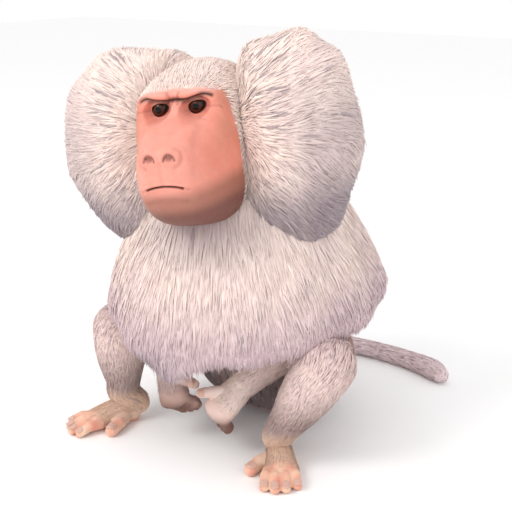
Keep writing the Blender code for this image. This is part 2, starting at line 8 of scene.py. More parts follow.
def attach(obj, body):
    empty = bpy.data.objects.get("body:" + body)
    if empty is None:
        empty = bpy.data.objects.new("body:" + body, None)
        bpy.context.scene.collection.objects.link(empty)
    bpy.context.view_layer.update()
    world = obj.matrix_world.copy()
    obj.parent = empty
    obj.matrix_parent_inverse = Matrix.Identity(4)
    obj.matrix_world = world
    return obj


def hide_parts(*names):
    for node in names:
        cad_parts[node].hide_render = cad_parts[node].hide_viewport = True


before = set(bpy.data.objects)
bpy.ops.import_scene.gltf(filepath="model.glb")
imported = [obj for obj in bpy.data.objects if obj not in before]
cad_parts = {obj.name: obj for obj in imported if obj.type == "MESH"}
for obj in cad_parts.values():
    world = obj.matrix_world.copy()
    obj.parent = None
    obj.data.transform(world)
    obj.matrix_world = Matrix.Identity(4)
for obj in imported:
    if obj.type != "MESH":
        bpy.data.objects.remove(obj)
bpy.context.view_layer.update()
print("frame loaded with", len(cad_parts), "nodes")


def unit(vectors):
    # Each vector over its own length
    return vectors / np.maximum(np.linalg.norm(vectors, axis=-1, keepdims=True), 1e-12)


def signedPower(values, power):
    # |value|^power with the value's own sign
    return np.sign(values) * np.abs(values) ** power


def fade(low, high, values):
    # 0 below low, 1 above high, an S-curve between them
    share = np.clip((values - low) / (high - low), 0, 1)
    return share * share * (3 - 2 * share)


def bell(distance, reach):
    # exp(-(distance / reach)^2): 1 in the middle, about a third at the reach
    return np.exp(-((distance / reach) ** 2))


def mix(first, second, share):
    # The first colour at a share of 0, the second at 1
    return first + (second - first) * np.asarray(share)[..., None]


def colour(code):
    # Linear red, green and blue from an sRGB hex code
    values = np.array([int(code[k:k + 2], 16) for k in (1, 3, 5)]) / 255
    return np.where(values <= 0.04045, values / 12.92, ((values + 0.055) / 1.055) ** 2.4)


def opaque(code):
    # The same colour with an alpha of 1, as a node takes it
    return (*colour(code), 1)


def axesOf(points):
    # The three coordinates of an array of points
    return np.moveaxis(points, -1, 0)


def drift(points, wavelength, seed):
    # A smooth wander between about -1 and 1: four sine waves that cross in different directions
    pick = np.random.default_rng(seed)
    waves = unit(pick.normal(size=(4, 3))) * (2 * np.pi / wavelength) * pick.uniform(0.6, 1.6, (4, 1))
    return np.sin(points @ waves.T + pick.uniform(0, 6.3, 4)).sum(axis=-1) / 2.2


def readRows(rows, v):
    # Rows of sizes read at v, from 0 at the first to 1 at the last, along a Catmull-Rom curve
    rows = np.asarray(rows, float)
    ends = np.concatenate([2 * rows[:1] - rows[1:2], rows, 2 * rows[-1:] - rows[-2:-1]])
    at = np.clip(v, 0, 1) * (len(rows) - 1)
    first = np.minimum(at.astype(int), len(rows) - 2)
    t = (at - first)[..., None]
    a, b, c, d = (ends[first + k] for k in range(4))
    return 0.5 * (2 * b + (c - a) * t + (2 * a - 5 * b + 4 * c - d) * t**2 + (3 * b - a - 3 * c + d) * t**3)


def outwardFaces(points, faces):
    # The faces turned so that the volume inside them counts as positive
    corners = points[faces]
    volume = (corners[:, 0] * np.cross(corners[:, 1], corners[:, 2])).sum()
    return faces if volume > 0 else faces[:, ::-1]


def makeObject(name, points, faces):
    # A smooth mesh object from arrays of points and of faces with the same number of corners
    mesh = bpy.data.meshes.new(name)
    mesh.vertices.add(len(points))
    mesh.vertices.foreach_set("co", np.asarray(points, np.float32).ravel())
    mesh.loops.add(faces.size)
    mesh.loops.foreach_set("vertex_index", np.ascontiguousarray(faces, np.int32).ravel())
    mesh.polygons.add(len(faces))
    mesh.polygons.foreach_set("loop_start", np.arange(len(faces), dtype=np.int32) * faces.shape[1])
    mesh.update(calc_edges=True)
    mesh.shade_smooth()
    piece = bpy.data.objects.new(name, mesh)
    bpy.context.scene.collection.objects.link(piece)
    return piece


def closedGrid(rings):
    # Triangles over rings of points, each end drawn to the middle of its last ring
    rows, around = rings.shape[:2]
    points = np.concatenate([rings.reshape(-1, 3), rings[:1].mean(axis=1), rings[-1:].mean(axis=1)])
    row, turn = np.meshgrid(np.arange(rows - 1), np.arange(around), indexing="ij")
    a, b = row * around + turn, row * around + (turn + 1) % around
    sides = np.stack([a, b, b + around, a, b + around, a + around], axis=-1).reshape(-1, 3)
    i, pole = np.arange(around), np.full(around, rows * around)
    j, last = (i + 1) % around, (rows - 1) * around
    ends = [np.stack([pole, j, i], axis=-1), np.stack([pole + 1, last + i, last + j], axis=-1)]
    faces = np.concatenate([sides, *ends])
    return points, outwardFaces(points, faces)


def storeAttribute(piece, name, values):
    # Values of one, three or four numbers a vertex, as an attribute that the materials read
    kinds = {1: ("FLOAT", "value"), 3: ("FLOAT_VECTOR", "vector"), 4: ("FLOAT_COLOR", "color")}
    values = np.asarray(values, np.float32)
    kind, field = kinds[1 if values.ndim == 1 else values.shape[1]]
    piece.data.attributes.new(name, kind, "POINT").data.foreach_set(field, values.ravel())


def storeGround(piece, ground):
    storeAttribute(piece, "ground", np.append(ground, np.ones((len(ground), 1)), axis=1))


def readAttribute(piece, name):
    values = np.empty(len(piece.data.vertices), np.float32)
    piece.data.attributes[name].data.foreach_get("value", values)
    return values


def readPoints(piece):
    points = np.empty(len(piece.data.vertices) * 3, np.float32)
    piece.data.vertices.foreach_get("co", points)
    return points.reshape(-1, 3).astype(float)


def stacked(grids):
    # Several closed grids as one set of points and faces
    bases = np.cumsum([0] + [len(points) for points, _ in grids])
    faces = [faces + base for (_, faces), base in zip(grids, bases)]
    return np.concatenate([points for points, _ in grids]), np.concatenate(faces)


def applied(piece):
    # The piece with its modifiers worked into its mesh
    bpy.context.view_layer.update()
    graph = bpy.context.evaluated_depsgraph_get()
    mesh = bpy.data.meshes.new_from_object(piece.evaluated_get(graph))
    piece.modifiers.clear()
    piece.data = mesh
    mesh.shade_smooth()
    return piece


def grownTogether(name, grids, voxel, rounds):
    # Closed grids remeshed into one form and smoothed
    piece = makeObject(name, *stacked(grids))
    remesh = piece.modifiers.new("grow", "REMESH")
    remesh.mode = "VOXEL"
    remesh.voxel_size = voxel
    smooth = piece.modifiers.new("smooth", "SMOOTH")
    smooth.factor = 0.5
    smooth.iterations = rounds
    return applied(piece)


def joined(base, other):
    # The two closed forms as one, the second taken out of the scene
    union = base.modifiers.new("union", "BOOLEAN")
    union.operation = "UNION"
    union.solver = "MANIFOLD"
    union.object = other
    applied(base)
    bpy.data.objects.remove(other)
    return base


# The head's own axes are (side, forward, up), turned and placed in the row frame. The ruffs are rooted on
# the neck as well and turn a little less.
headPlace = np.array((-0.007, -0.150, 0.457))


def turned(turn, nod, lean):
    # Rotations in degrees about z, x and y, with forward along -y
    return np.array(
        Matrix.Rotation(math.radians(turn), 3, "Z")
        @ Matrix.Rotation(math.radians(nod), 3, "X")
        @ Matrix.Rotation(math.radians(-lean), 3, "Y")
    ) @ np.diag((1, -1, 1))


headTurn, collarTurn = turned(16.5, 6.5, 8), turned(12, 10, 8)


def fromHead(local, axes=headTurn):
    # From the head's axes to the row frame; toHead goes back
    return np.asarray(local, float) @ axes.T + headPlace


def toHead(points, axes=headTurn):
    return (points - headPlace) @ axes


def pastEnd(place):
    # The same form, which runs straight on beyond v = 0 and v = 1
    def extended(q):
        inside = np.stack([q[..., 0], np.clip(q[..., 1], 0, 1)], axis=-1)
        back = np.where(inside[..., 1:] > 0.5, -0.01, 0.01)
        end = place(inside)
        slope = (end - place(inside + back * np.array((0, 1)))) / -back
        return end + slope * (q[..., 1:] - inside[..., 1:])
    return extended


def ringForm(rows, locks=0, bib=0.0):
    # Rings of (height, shift, half width, half depth, slope): x is wide * cos, y is shift + deep * sin, and
    # the height follows the slope, less a bib at the front. A cosine of `locks` waves furrows the edge.
    def place(q):
        turn, v = 2 * np.pi * q[..., 0], np.clip(q[..., 1], 0, 1)
        height, shift, wide, deep, slope = np.moveaxis(readRows(rows, v), -1, 0)
        furrow = 1 + 0.0035 * v * np.cos(locks * turn) / wide
        along = deep * furrow * np.sin(turn)
        fromFront = np.degrees(turn) % 360 - 270
        up = height + slope * along - bib * v**2 * bell(fromFront, 14)
        return np.stack([wide * furrow * np.cos(turn), shift + along, up], axis=-1)
    return place


def tubeForm(rows, front):
    # A tube along a curve: centre + side * wide * cos + face * deep * sin, with a round dome past each end
    rows, domeShare = np.array(rows, float), 0.1

    def place(q):
        turn, v = 2 * np.pi * q[..., 0], q[..., 1]
        inside = np.clip(v, 0, 1)
        path = readRows(rows, inside)
        ahead, behind = np.minimum(inside + 0.02, 1), np.maximum(inside - 0.02, 0)
        along = unit(readRows(rows, ahead)[..., :3] - readRows(rows, behind)[..., :3])
        side = unit(np.cross(along, np.array(front, float)))
        face = np.cross(side, along)
        lean = np.clip((v - inside) / domeShare, -1, 1)[..., None] * np.pi / 2
        reach = 0.9 * np.minimum(path[..., 3], path[..., 4])[..., None]
        wide, deep = (path[..., 3] * np.cos(turn))[..., None], (path[..., 4] * np.sin(turn))[..., None]
        return path[..., :3] + (side * wide + face * deep) * np.cos(lean) + along * reach * np.sin(lean)
    return place


def evenGrid(place, rows, around, low=0.0, high=1.0):
    # Rings of points at even steps of (turn, v)
    turn, v = np.meshgrid(np.arange(around) / around, np.linspace(low, high, rows))
    return place(np.stack([turn, v], axis=-1))


headRows = [  # (forward, top, widest level, bottom, half width, squareness)
    (-0.078, 0.026, -0.005, -0.045, 0.040, 2.0),
    (-0.055, 0.046, 0.000, -0.066, 0.057, 2.0),
    (-0.020, 0.057, -0.004, -0.084, 0.065, 2.1),
    (0.015, 0.058, -0.014, -0.106, 0.067, 2.4),
    (0.042, 0.053, -0.032, -0.122, 0.067, 2.9),
    (0.060, 0.046, -0.044, -0.127, 0.065, 3.2),
    (0.072, 0.040, -0.050, -0.127, 0.062, 3.3),
    (0.081, 0.024, -0.052, -0.126, 0.059, 3.2),
    (0.092, 0.012, -0.055, -0.123, 0.056, 3.0),
    (0.106, 0.006, -0.057, -0.118, 0.052, 2.8),
    (0.123, 0.000, -0.058, -0.110, 0.046, 2.7),
    (0.137, -0.005, -0.058, -0.101, 0.040, 2.6),
    (0.147, -0.010, -0.056, -0.090, 0.034, 2.5),
    (0.153, -0.019, -0.054, -0.075, 0.025, 2.3),
    (0.1555, -0.034, -0.050, -0.064, 0.013, 2.1),
    (0.1562, -0.0489, -0.049, -0.0491, 0.0001, 2.0),
]


def headLocal(q):
    # At turn a the ring's radius is (|cos a / wide|^n + |sin a / high|^n)^(-1/n), round the widest level
    turn = 2 * np.pi * q[..., 0]
    forward, top, widest, bottom, wide, square = np.moveaxis(readRows(headRows, q[..., 1]), -1, 0)
    cosine, sine = np.cos(turn), np.sin(turn)
    high = np.where(sine > 0, top - widest, widest - bottom)
    wide, high = np.maximum(wide, 1e-4), np.maximum(high, 1e-4)
    radius = (np.abs(cosine / wide) ** square + np.abs(sine / high) ** square) ** (-1 / square)
    return np.stack([radius * cosine, forward, widest + radius * sine], axis=-1)


# Soft forms of the head, mirrored to both sides: (centre, reach, push), each (side, forward, up)
headSwells = [
    ((0.026, 0.078, 0.037), (0.022, 0.012, 0.008), (0.000, 0.0080, 0.0020)),    # brow ridge
    ((0.044, 0.064, 0.024), (0.010, 0.012, 0.014), (0.004, 0.0030, 0.0000)),    # outer rim of the orbit
    ((0.0235, 0.082, 0.017), (0.0125, 0.014, 0.010), (0.000, -0.0100, 0.0000)),  # eye socket
    ((0.024, 0.112, -0.006), (0.010, 0.028, 0.012), (0.003, 0.0000, 0.0030)),   # ridge beside the nose
    ((0.012, 0.149, -0.017), (0.010, 0.010, 0.010), (0.001, 0.0035, 0.0015)),   # nostril mound
    ((0.046, 0.060, -0.022), (0.016, 0.022, 0.020), (0.005, 0.0000, 0.0000)),   # cheek bone
]


def swollen(local):
    # Each push fades as a bell curve of the distance over its reach
    moved = local.copy()
    for centre, reach, push in headSwells:
        for mirror in (1, -1):
            flip = np.array((mirror, 1, 1))
            away = (local - np.array(centre) * flip) / np.array(reach)
            moved += np.exp(-(away**2).sum(axis=-1))[..., None] * np.array(push) * flip
    return moved


ruffShape = dict(
    centre=(0.114, -0.008, -0.061), reach=(0.084, 0.080, 0.139), square=0.74, lean=0.22, wrap=0.40,
    behind=1.4, tuckUp={1: -0.06, -1: 0.11}, tuckDown=0.32, locks=9, relief=0.0035,
)


def ruffForm(side):
    # A superellipsoid round a unit direction, leaning out in front, wrapped in behind, its ends tucked in
    shape = ruffShape

    def place(q):
        out, ahead, rise = axesOf(unit(q))
        level = np.sqrt(np.maximum(out**2 + rise**2, 1e-12))
        bulge = level * signedPower(out / level, shape["square"])
        climb = level * signedPower(rise / level, shape["square"])
        waves = np.cos(shape["locks"] * np.arctan2(rise, out)) * level**2
        furrow = 1 + shape["relief"] / shape["reach"][2] * waves
        placed = np.stack([bulge * furrow, ahead, climb * furrow], axis=-1) * np.array(shape["reach"])
        placed[..., 1] *= np.where(placed[..., 1] < 0, shape["behind"], 1)
        ahead, rise = placed[..., 1].copy(), placed[..., 2].copy()
        placed[..., 0] += shape["lean"] * np.maximum(ahead, 0) + shape["wrap"] * np.minimum(ahead, 0)
        placed[..., 0] += shape["tuckDown"] * np.minimum(rise, 0) - shape["tuckUp"][side] * np.maximum(rise, 0)
        return fromHead((placed + np.array(shape["centre"])) * np.array((side, 1, 1)), collarTurn)
    return place


def insideRuff(points, side, inset):
    # The ruff's own mapping undone, then the distance from its middle set against the unit ball
    shape = ruffShape
    out, ahead, rise = axesOf(toHead(points, collarTurn) * np.array((side, 1, 1)) - np.array(shape["centre"]))
    out = out - shape["lean"] * np.maximum(ahead, 0) - shape["wrap"] * np.minimum(ahead, 0)
    out = out - shape["tuckDown"] * np.minimum(rise, 0) + shape["tuckUp"][side] * np.maximum(rise, 0)
    deep = shape["reach"][1] * np.where(ahead < 0, shape["behind"], 1)
    n = 2 / shape["square"]
    level = (np.abs(out / shape["reach"][0]) ** n + np.abs(rise / shape["reach"][2]) ** n) ** (1 / n)
    return np.sqrt(level**2 + (ahead / deep) ** 2) < 1 - inset / 0.1


def insideRings(points, rows, inset):
    # The level of the sloping ring through each point, found in three rounds, then its ellipse
    rows, (x, y, z) = np.array(sorted(rows)), axesOf(points)
    level = z
    for _ in range(3):
        shift, wide, deep, slope = (np.interp(level, rows[:, 0], rows[:, k]) for k in range(1, 5))
        level = z - slope * (y - shift)
    ring = (x / (wide - inset)) ** 2 + ((y - shift) / (deep - inset)) ** 2
    return (ring < 1) & (level > rows[0, 0]) & (level < rows[-1, 0])


def insideHead(points, inset):
    # The head's ring at each point's place along it, drawn in by the inset
    rows, (side, forward, up) = np.array(headRows), axesOf(toHead(points))
    top, widest, bottom, wide, square = (np.interp(forward, rows[:, 0], rows[:, k]) for k in range(1, 6))
    rise = up - widest
    high = np.where(rise > 0, top - widest, widest - bottom)
    wide, high = np.maximum(wide - inset, 1e-3), np.maximum(high - inset, 1e-3)
    ring = np.abs(side / wide) ** square + np.abs(rise / high) ** square
    return (ring < 1) & (forward > rows[0, 0]) & (forward < rows[-1, 0])


mantleRows = [  # (height, shift, half width, half depth, slope)
    (0.405, -0.100, 0.070, 0.066, 0.30),
    (0.380, -0.097, 0.102, 0.096, 0.26),
    (0.345, -0.093, 0.126, 0.121, 0.22),
    (0.300, -0.084, 0.150, 0.147, 0.19),
    (0.255, -0.074, 0.170, 0.170, 0.17),
    (0.220, -0.066, 0.182, 0.184, 0.15),
    (0.195, -0.062, 0.186, 0.190, 0.14),
    (0.182, -0.060, 0.181, 0.187, 0.14),
]
napeRows = [
    (0.300, -0.072, 0.100, 0.090, 0.10),
    (0.350, -0.078, 0.112, 0.096, 0.12),
    (0.400, -0.090, 0.108, 0.090, 0.14),
    (0.440, -0.100, 0.095, 0.080, 0.14),
    (0.475, -0.108, 0.074, 0.065, 0.12),
    (0.498, -0.112, 0.046, 0.043, 0.08),
]
rumpRows = [
    (0.006, 0.004, 0.062, 0.036, 0.0),
    (0.020, 0.004, 0.088, 0.066, 0.0),
    (0.050, 0.002, 0.108, 0.094, 0.0),
    (0.085, -0.002, 0.116, 0.106, 0.0),
    (0.125, -0.012, 0.116, 0.108, 0.0),
    (0.165, -0.028, 0.112, 0.106, 0.05),
    (0.205, -0.044, 0.104, 0.100, 0.10),
]
tailRows = [  # (x, y, z, half width, half depth)
    (0.000, 0.060, 0.088, 0.022, 0.022),
    (-0.010, 0.118, 0.078, 0.0205, 0.0205),
    (-0.030, 0.165, 0.050, 0.0170, 0.0165),
    (-0.024, 0.212, 0.021, 0.0150, 0.0145),
    (0.020, 0.236, 0.0125, 0.0140, 0.0138),
    (0.075, 0.236, 0.0120, 0.0140, 0.0138),
    (0.130, 0.227, 0.0125, 0.0155, 0.0146),
    (0.162, 0.215, 0.0130, 0.0165, 0.0150),
    (0.181, 0.203, 0.0120, 0.0120, 0.0125),
]
legs = {
    1: dict(hip=(0.062, 0, 0.100), knee=(0.172, -0.136, 0.146), ankle=(0.113, -0.154, 0.044),
            heel=(0.098, -0.133), heading=34),
    -1: dict(hip=(-0.062, -0.004, 0.098), knee=(-0.149, -0.162, 0.136), ankle=(-0.140, -0.168, 0.044),
             heel=(-0.127, -0.150), heading=-27),
}
arms = {
    1: dict(elbow=(0.142, -0.050, 0.196), wrist=(0.056, -0.156, 0.098), palm=(0.038, -0.177, 0.070),
            tips=(0.032, -0.168, 0.036), thumb=(0.012, -0.190, 0.088)),
    -1: dict(elbow=(-0.152, -0.092, 0.192), wrist=(-0.062, -0.162, 0.100), palm=(-0.044, -0.175, 0.068),
             tips=(-0.018, -0.168, 0.051), thumb=(0, -0.184, 0.095)),
}
sideNames = {1: "left", -1: "right"}


def between(a, b, share):
    # The point at a share of the way from a to b
    return np.array(a) + (np.array(b) - np.array(a)) * share


def limbRows(stops):
    # Rows (x, y, z, half width, half depth) from (point, half width, half depth)
    return [(*point, wide, deep) for point, wide, deep in stops]


def legForms(side):
    # Thigh, shank, sole, big toe and four toes as tubes: name to (rows, front)
    leg = legs[side]
    hip, knee, ankle = leg["hip"], leg["knee"], leg["ankle"]
    turn = math.radians(leg["heading"])
    ahead = np.array((math.sin(turn), -math.cos(turn), 0))
    out = np.array((math.cos(turn), math.sin(turn), 0)) * side
    heel = np.array((*leg["heel"], 0))
    placed = lambda rows: [
        (*(heel + ahead * f + out * o + np.array((0, 0, u))), wide, high) for f, o, u, wide, high in rows
    ]
    forms = {
        "thigh": (limbRows([
            (hip, 0.060, 0.056), (between(hip, knee, 0.35), 0.056, 0.050),
            (between(hip, knee, 0.7), 0.046, 0.042), (knee, 0.037, 0.036),
        ]), (0, -1, 1)),
        "shank": (limbRows([
            (knee, 0.037, 0.037), (between(knee, ankle, 0.25), 0.036, 0.037),
            (between(knee, ankle, 0.55), 0.0315, 0.032), (between(knee, ankle, 0.8), 0.0245, 0.025),
            (ankle, 0.0205, 0.023), ((*leg["heel"], 0.022), 0.0165, 0.0175),
        ]), (0, -1, 0.2)),
        "sole": (placed([
            (0.013, 0.000, 0.0125, 0.0155, 0.0155), (0.030, 0.001, 0.0160, 0.0180, 0.0195),
            (0.047, 0.002, 0.0140, 0.0195, 0.0170), (0.064, 0.003, 0.0105, 0.0225, 0.0135),
            (0.075, 0.003, 0.0085, 0.0230, 0.0110),
        ]), (0, 0, 1)),
        "bigToe": (placed([
            (0.032, -0.012, 0.0105, 0.0120, 0.0110), (0.045, -0.026, 0.0105, 0.0098, 0.0094),
            (0.059, -0.037, 0.0078, 0.0090, 0.0088),
        ]), (0, 0, 1)),
    }
    toes = zip((-0.0160, -0.0052, 0.0062, 0.0180), (0.099, 0.105, 0.103, 0.095))
    for number, (spread, reach) in enumerate(toes):
        forms[f"toe{number}"] = (placed([
            (0.066, spread * 0.95, 0.0105, 0.0074, 0.0074),
            ((0.066 + reach) / 2, spread * 1.12, 0.0118, 0.0070, 0.0072),
            (reach, spread * 1.22, 0.0056, 0.0068, 0.0062),
        ]), (0, 0, 1))
    return forms


def armForms(side):
    # Forearm, palm, four fingers and thumb as tubes: name to (rows, front)
    arm = {key: np.array(value) for key, value in arms[side].items()}
    elbow, wrist, palm, tips, thumb = (arm[key] for key in ("elbow", "wrist", "palm", "tips", "thumb"))
    down = unit(palm - wrist)
    front = unit(np.cross((side, 0, 0), down)) * side
    knuckles = palm + down * 0.010
    across = unit(np.cross(down, front))
    forms = {
        "forearm": (limbRows([
            (elbow, 0.031, 0.031), (between(elbow, wrist, 0.25), 0.031, 0.032),
            (between(elbow, wrist, 0.55), 0.027, 0.028), (between(elbow, wrist, 0.85), 0.021, 0.021),
            (wrist, 0.0195, 0.018),
        ]), (0, -1, 1)),
        "palm": (limbRows([
            (wrist, 0.0185, 0.0165), (palm, 0.0235, 0.0145), (knuckles, 0.0235, 0.0125),
        ]), tuple(front)),
    }
    fingers = zip((-0.0165, -0.0055, 0.0055, 0.0155), (0.90, 1.0, 0.98, 0.84))
    for number, (spread, share) in enumerate(fingers):
        base = knuckles + across * spread
        curl = tips + across * spread * 0.8 + (knuckles - tips) * (1 - share)
        bend = (base + curl) / 2 + front * 0.010
        forms[f"finger{number}"] = (limbRows([
            (base, 0.0070, 0.0070), (bend, 0.0068, 0.0070), (curl, 0.0060, 0.0058),
        ]), tuple(front))
    root = between(wrist, palm, 0.45) + (thumb - palm) * 0.25
    forms["thumb"] = (limbRows([
        (root, 0.0095, 0.0095), (between(root, thumb, 0.6), 0.0080, 0.0082), (thumb, 0.0068, 0.0064),
    ]), (0, -1, 0.3))
    return forms


def limbForms(side):
    return {**legForms(side), **armForms(side)}


def isDigit(name):
    return name.startswith(("finger", "toe", "thumb", "bigToe"))


def eyeFrame(side):
    # The eye's middle in the head's axes, and its gaze, side and up directions
    middle = np.array((0.0235 * side, 0.0648, 0.018))
    gaze = unit(np.array((0.05 * side, 1, 0.06)))
    across = unit(np.array((side, -0.05, 0)))
    return middle, gaze, across, np.cross(across, gaze) * side


# The opening between the lids is an oval of half width `wide`, slanted up to the outside. The skin lies
# `sunk` under the ball inside it and rises by `step` at its edge
eyeShape = dict(
    radius=0.0125, lid=0.0011, wide=0.0110, up=0.0070, down=0.0080, slant=0.14, sunk=0.0030, step=0.0036,
)


def eyeBall(a, b):
    # How far in front of its middle the ball lies at (across, up), levelled off near its horizon
    return np.sqrt(np.maximum(eyeShape["radius"] ** 2 - a**2 - b**2, 0.0045**2))


# Creases of the face on one half, mirrored: points (side, forward, up), reach, depth, lip, painted shade
# darkness
faceFolds = [
    ([(0.0000, 0.080, 0.0300), (0.0086, 0.0794, 0.0288), (0.0168, 0.0783, 0.0286), (0.0250, 0.079, 0.0304),
      (0.0336, 0.0793, 0.0328), (0.0400, 0.0775, 0.0330), (0.0470, 0.0743, 0.0312)],
     0.0025, 0.0026, 0.0008, 1.0),  # under the brow
    ([(0.0100, 0.0794, 0.0268), (0.0168, 0.0783, 0.0265), (0.0250, 0.079, 0.0280), (0.0330, 0.0785, 0.0300)],
     0.0036, 0.0004, 0.0, 0.72),  # shade below it
    ([(0.0035, 0.080, 0.024), (0.0048, 0.0795, 0.031), (0.0085, 0.0775, 0.038)], 0.0016, 0.0014, 0.0004, 0.35),
    ([(0.0095, 0.0815, 0.0110), (0.018, 0.084, 0.0045), (0.026, 0.0835, 0.0035), (0.0365, 0.078, 0.009)],
     0.0016, 0.0008, 0.0004, 0.20),
    ([(0.012, 0.087, 0.002), (0.022, 0.087, -0.003), (0.034, 0.081, -0.003)], 0.0018, 0.0006, 0.0003, 0.10),
    ([(0.0365, 0.0775, 0.0170), (0.044, 0.071, 0.0155), (0.051, 0.063, 0.0125)], 0.0013, 0.0008, 0.0002, 0.25),
    ([(0.0065, 0.092, 0.015), (0.0078, 0.110, 0.007), (0.0085, 0.132, -0.0015)], 0.0030, 0.0008, 0.0, 0.0),
    ([(0.0290, 0.093, 0.000), (0.0322, 0.110, -0.005), (0.0345, 0.1256, -0.012), (0.037, 0.1364, -0.0289),
      (0.0358, 0.1446, -0.045)], 0.0060, 0.0008, 0.0002, 0.05),
    ([(0.0200, 0.147, -0.0115), (0.0248, 0.1455, -0.0160), (0.0258, 0.1485, -0.0225),
      (0.0235, 0.1515, -0.0280), (0.0185, 0.1540, -0.0315)], 0.0022, 0.0011, 0.0004, 0.14),  # behind the wing
    ([(0.0058, 0.1558, -0.0225), (0.0070, 0.1552, -0.0180), (0.0102, 0.1545, -0.0153), (0.0140, 0.154, -0.0154),
      (0.0172, 0.1535, -0.0180), (0.0186, 0.1535, -0.0225)], 0.0013, 0.0014, 0.0007, 0.70),  # nostril rim
    ([(0.0, 0.157, -0.026), (0.0, 0.1565, -0.038), (0.0, 0.1562, -0.049)], 0.0022, 0.0006, 0.0002, 0.05),
    ([(0.0, 0.1562, -0.0518), (0.006, 0.156, -0.0521), (0.012, 0.1557, -0.0528), (0.018, 0.1545, -0.0541),
      (0.0225, 0.1535, -0.0558)], 0.0012, 0.0026, 0.0008, 0.95),  # mouth
    ([(0.0225, 0.1535, -0.0558), (0.0255, 0.152, -0.0572), (0.0285, 0.150, -0.0582)],
     0.0015, 0.0008, 0.0003, 0.15),
    ([(0.0, 0.1545, -0.069), (0.012, 0.152, -0.0695), (0.022, 0.1475, -0.072)], 0.0030, 0.0010, 0.0003, 0.10),
    ([(0.0, 0.0745, 0.0385), (0.014, 0.074, 0.0390), (0.028, 0.0715, 0.0400)], 0.0024, 0.0006, 0.0003, 0.05),
]
# Rounded masses: (centre, reach, height), on one half and mirrored
faceMasses = [
    ((0.012, 0.082, 0.0335), (0.009, 0.012, 0.0045), 0.0024),   # brow, inner end, drawn down in a frown
    ((0.032, 0.079, 0.0385), (0.014, 0.012, 0.005), 0.0014),    # brow, outer part
    ((0.019, 0.112, -0.002), (0.005, 0.024, 0.008), 0.0016),    # ridge beside the nose
    ((0.0215, 0.147, -0.0185), (0.0045, 0.008, 0.008), 0.0018),  # wing of the nose
    ((0.012, 0.151, -0.0110), (0.008, 0.008, 0.0032), 0.0014),  # rim over the nostril
    ((0.034, 0.085, -0.010), (0.013, 0.014, 0.010), 0.0014),    # cheek below the eye
    ((0.013, 0.153, -0.0445), (0.013, 0.010, 0.006), 0.0010),   # upper lip
    ((0.010, 0.151, -0.0605), (0.013, 0.010, 0.0045), 0.0014),  # lower lip
    ((0.010, 0.146, -0.083), (0.016, 0.014, 0.010), 0.0012),    # chin
]
# Each nostril: an oval pushed in and darkened by painted shade
nostrilOval = dict(middle=(0.0122, -0.0202), reach=(0.0056, 0.0040), depth=0.0045, hollowShade=0.50)


def laidLines():
    # Each crease as a smooth curve through its points, laid on the nearest points of the plain half head
    turn, v = np.meshgrid(np.linspace(-0.25, 0.25, 240), np.linspace(0.4, 1, 300))
    plain = swollen(headLocal(np.stack([turn, v], axis=-1))).reshape(-1, 3)
    lines = []
    for line, *_ in faceFolds:
        curve = readRows(line, np.linspace(0, 1, 3 * len(line)))
        line = plain[((curve[:, None] - plain) ** 2).sum(axis=-1).argmin(axis=1)]
        for _ in range(2):
            line[1:-1] = 0.25 * line[:-2] + 0.5 * line[1:-1] + 0.25 * line[2:]
        lines.append(line)
    return lines


def lineDistance(points, line):
    # Distance to the nearest of the straight runs between the line's points
    nearest = np.full(points.shape[:-1], np.inf)
    for start, end in zip(line[:-1], line[1:]):
        run = end - start
        share = np.clip(((points - start) @ run) / max(run @ run, 1e-12), 0, 1)
        nearest = np.minimum(nearest, np.linalg.norm(points - start - share[..., None] * run, axis=-1))
    return nearest


def faceDetail(local):
    # Height over the plain head, masses as bell curves and creases as grooves with a lip on each side, and
    # how much painted shade darkens the skin in each crease and in the nostrils
    side, forward, up = axesOf(local)
    half = np.stack([np.abs(side), forward, up], axis=-1)
    height, dark = np.zeros(side.shape), np.zeros(side.shape)
    for centre, reach, rise in faceMasses:
        away = (half - np.array(centre)) / np.array(reach)
        height += rise * np.exp(-(away**2).sum(axis=-1))
    for line, (_, reach, depth, lip, hollowShade) in zip(laidLines(), faceFolds):
        distance = lineDistance(half, line)
        height += lip * bell(distance - 2.4 * reach, 1.3 * reach) - depth * bell(distance, reach)
        dark = np.maximum(dark, hollowShade * bell(distance, 1.05 * reach))
    return height, np.maximum(dark, nostrilOval["hollowShade"] * nostrilShare(local))


def nostrilShare(local):
    # 1 inside the oval of each nostril, on the front of the muzzle only
    (across, level), (wide, high) = nostrilOval["middle"], nostrilOval["reach"]
    side, forward, up = axesOf(local)
    oval = np.hypot((np.abs(side) - across) / wide, (up - level) / high)
    return fade(1.10, 0.70, oval) * fade(0.140, 0.146, forward)


def faceShare(local, soft=0.003):
    # 1 on the bare face, 0 in the coat: above a line over the brow and behind the cheeks it is coat
    side, forward, up = axesOf(local)
    border = 0.0595 - 0.22 * np.maximum(up, 0)
    fromTop = 0.0436 - 2.4 * side**2 - up
    return fade(-soft, soft, np.minimum(forward - border, fromTop))


skinLook = dict(
    around=390, rows=250, crownDepth=0.0015, ruffDepth=0.0020, mantleDepth=0.0022, napeDepth=0.0022,
    rumpDepth=0.004, limbDepth=0.0012, handDepth=0.0003, bulkVoxel=0.0050, limbVoxel=0.0031,
    handVoxel=0.0016,
)
overFloor = dict(skin=0.0003, nails=0.0004, coat=0.0006)  # the lowest that each may lie


def ballDirections(rows, around, end):
    # Unit directions in rings round the second axis, each pole left open by the angle `end`
    turn, lean = np.meshgrid(np.arange(around) / around * 2 * np.pi, np.linspace(end, np.pi - end, rows))
    return np.stack([np.sin(lean) * np.cos(turn), np.cos(lean), np.sin(lean) * np.sin(turn)], axis=-1)


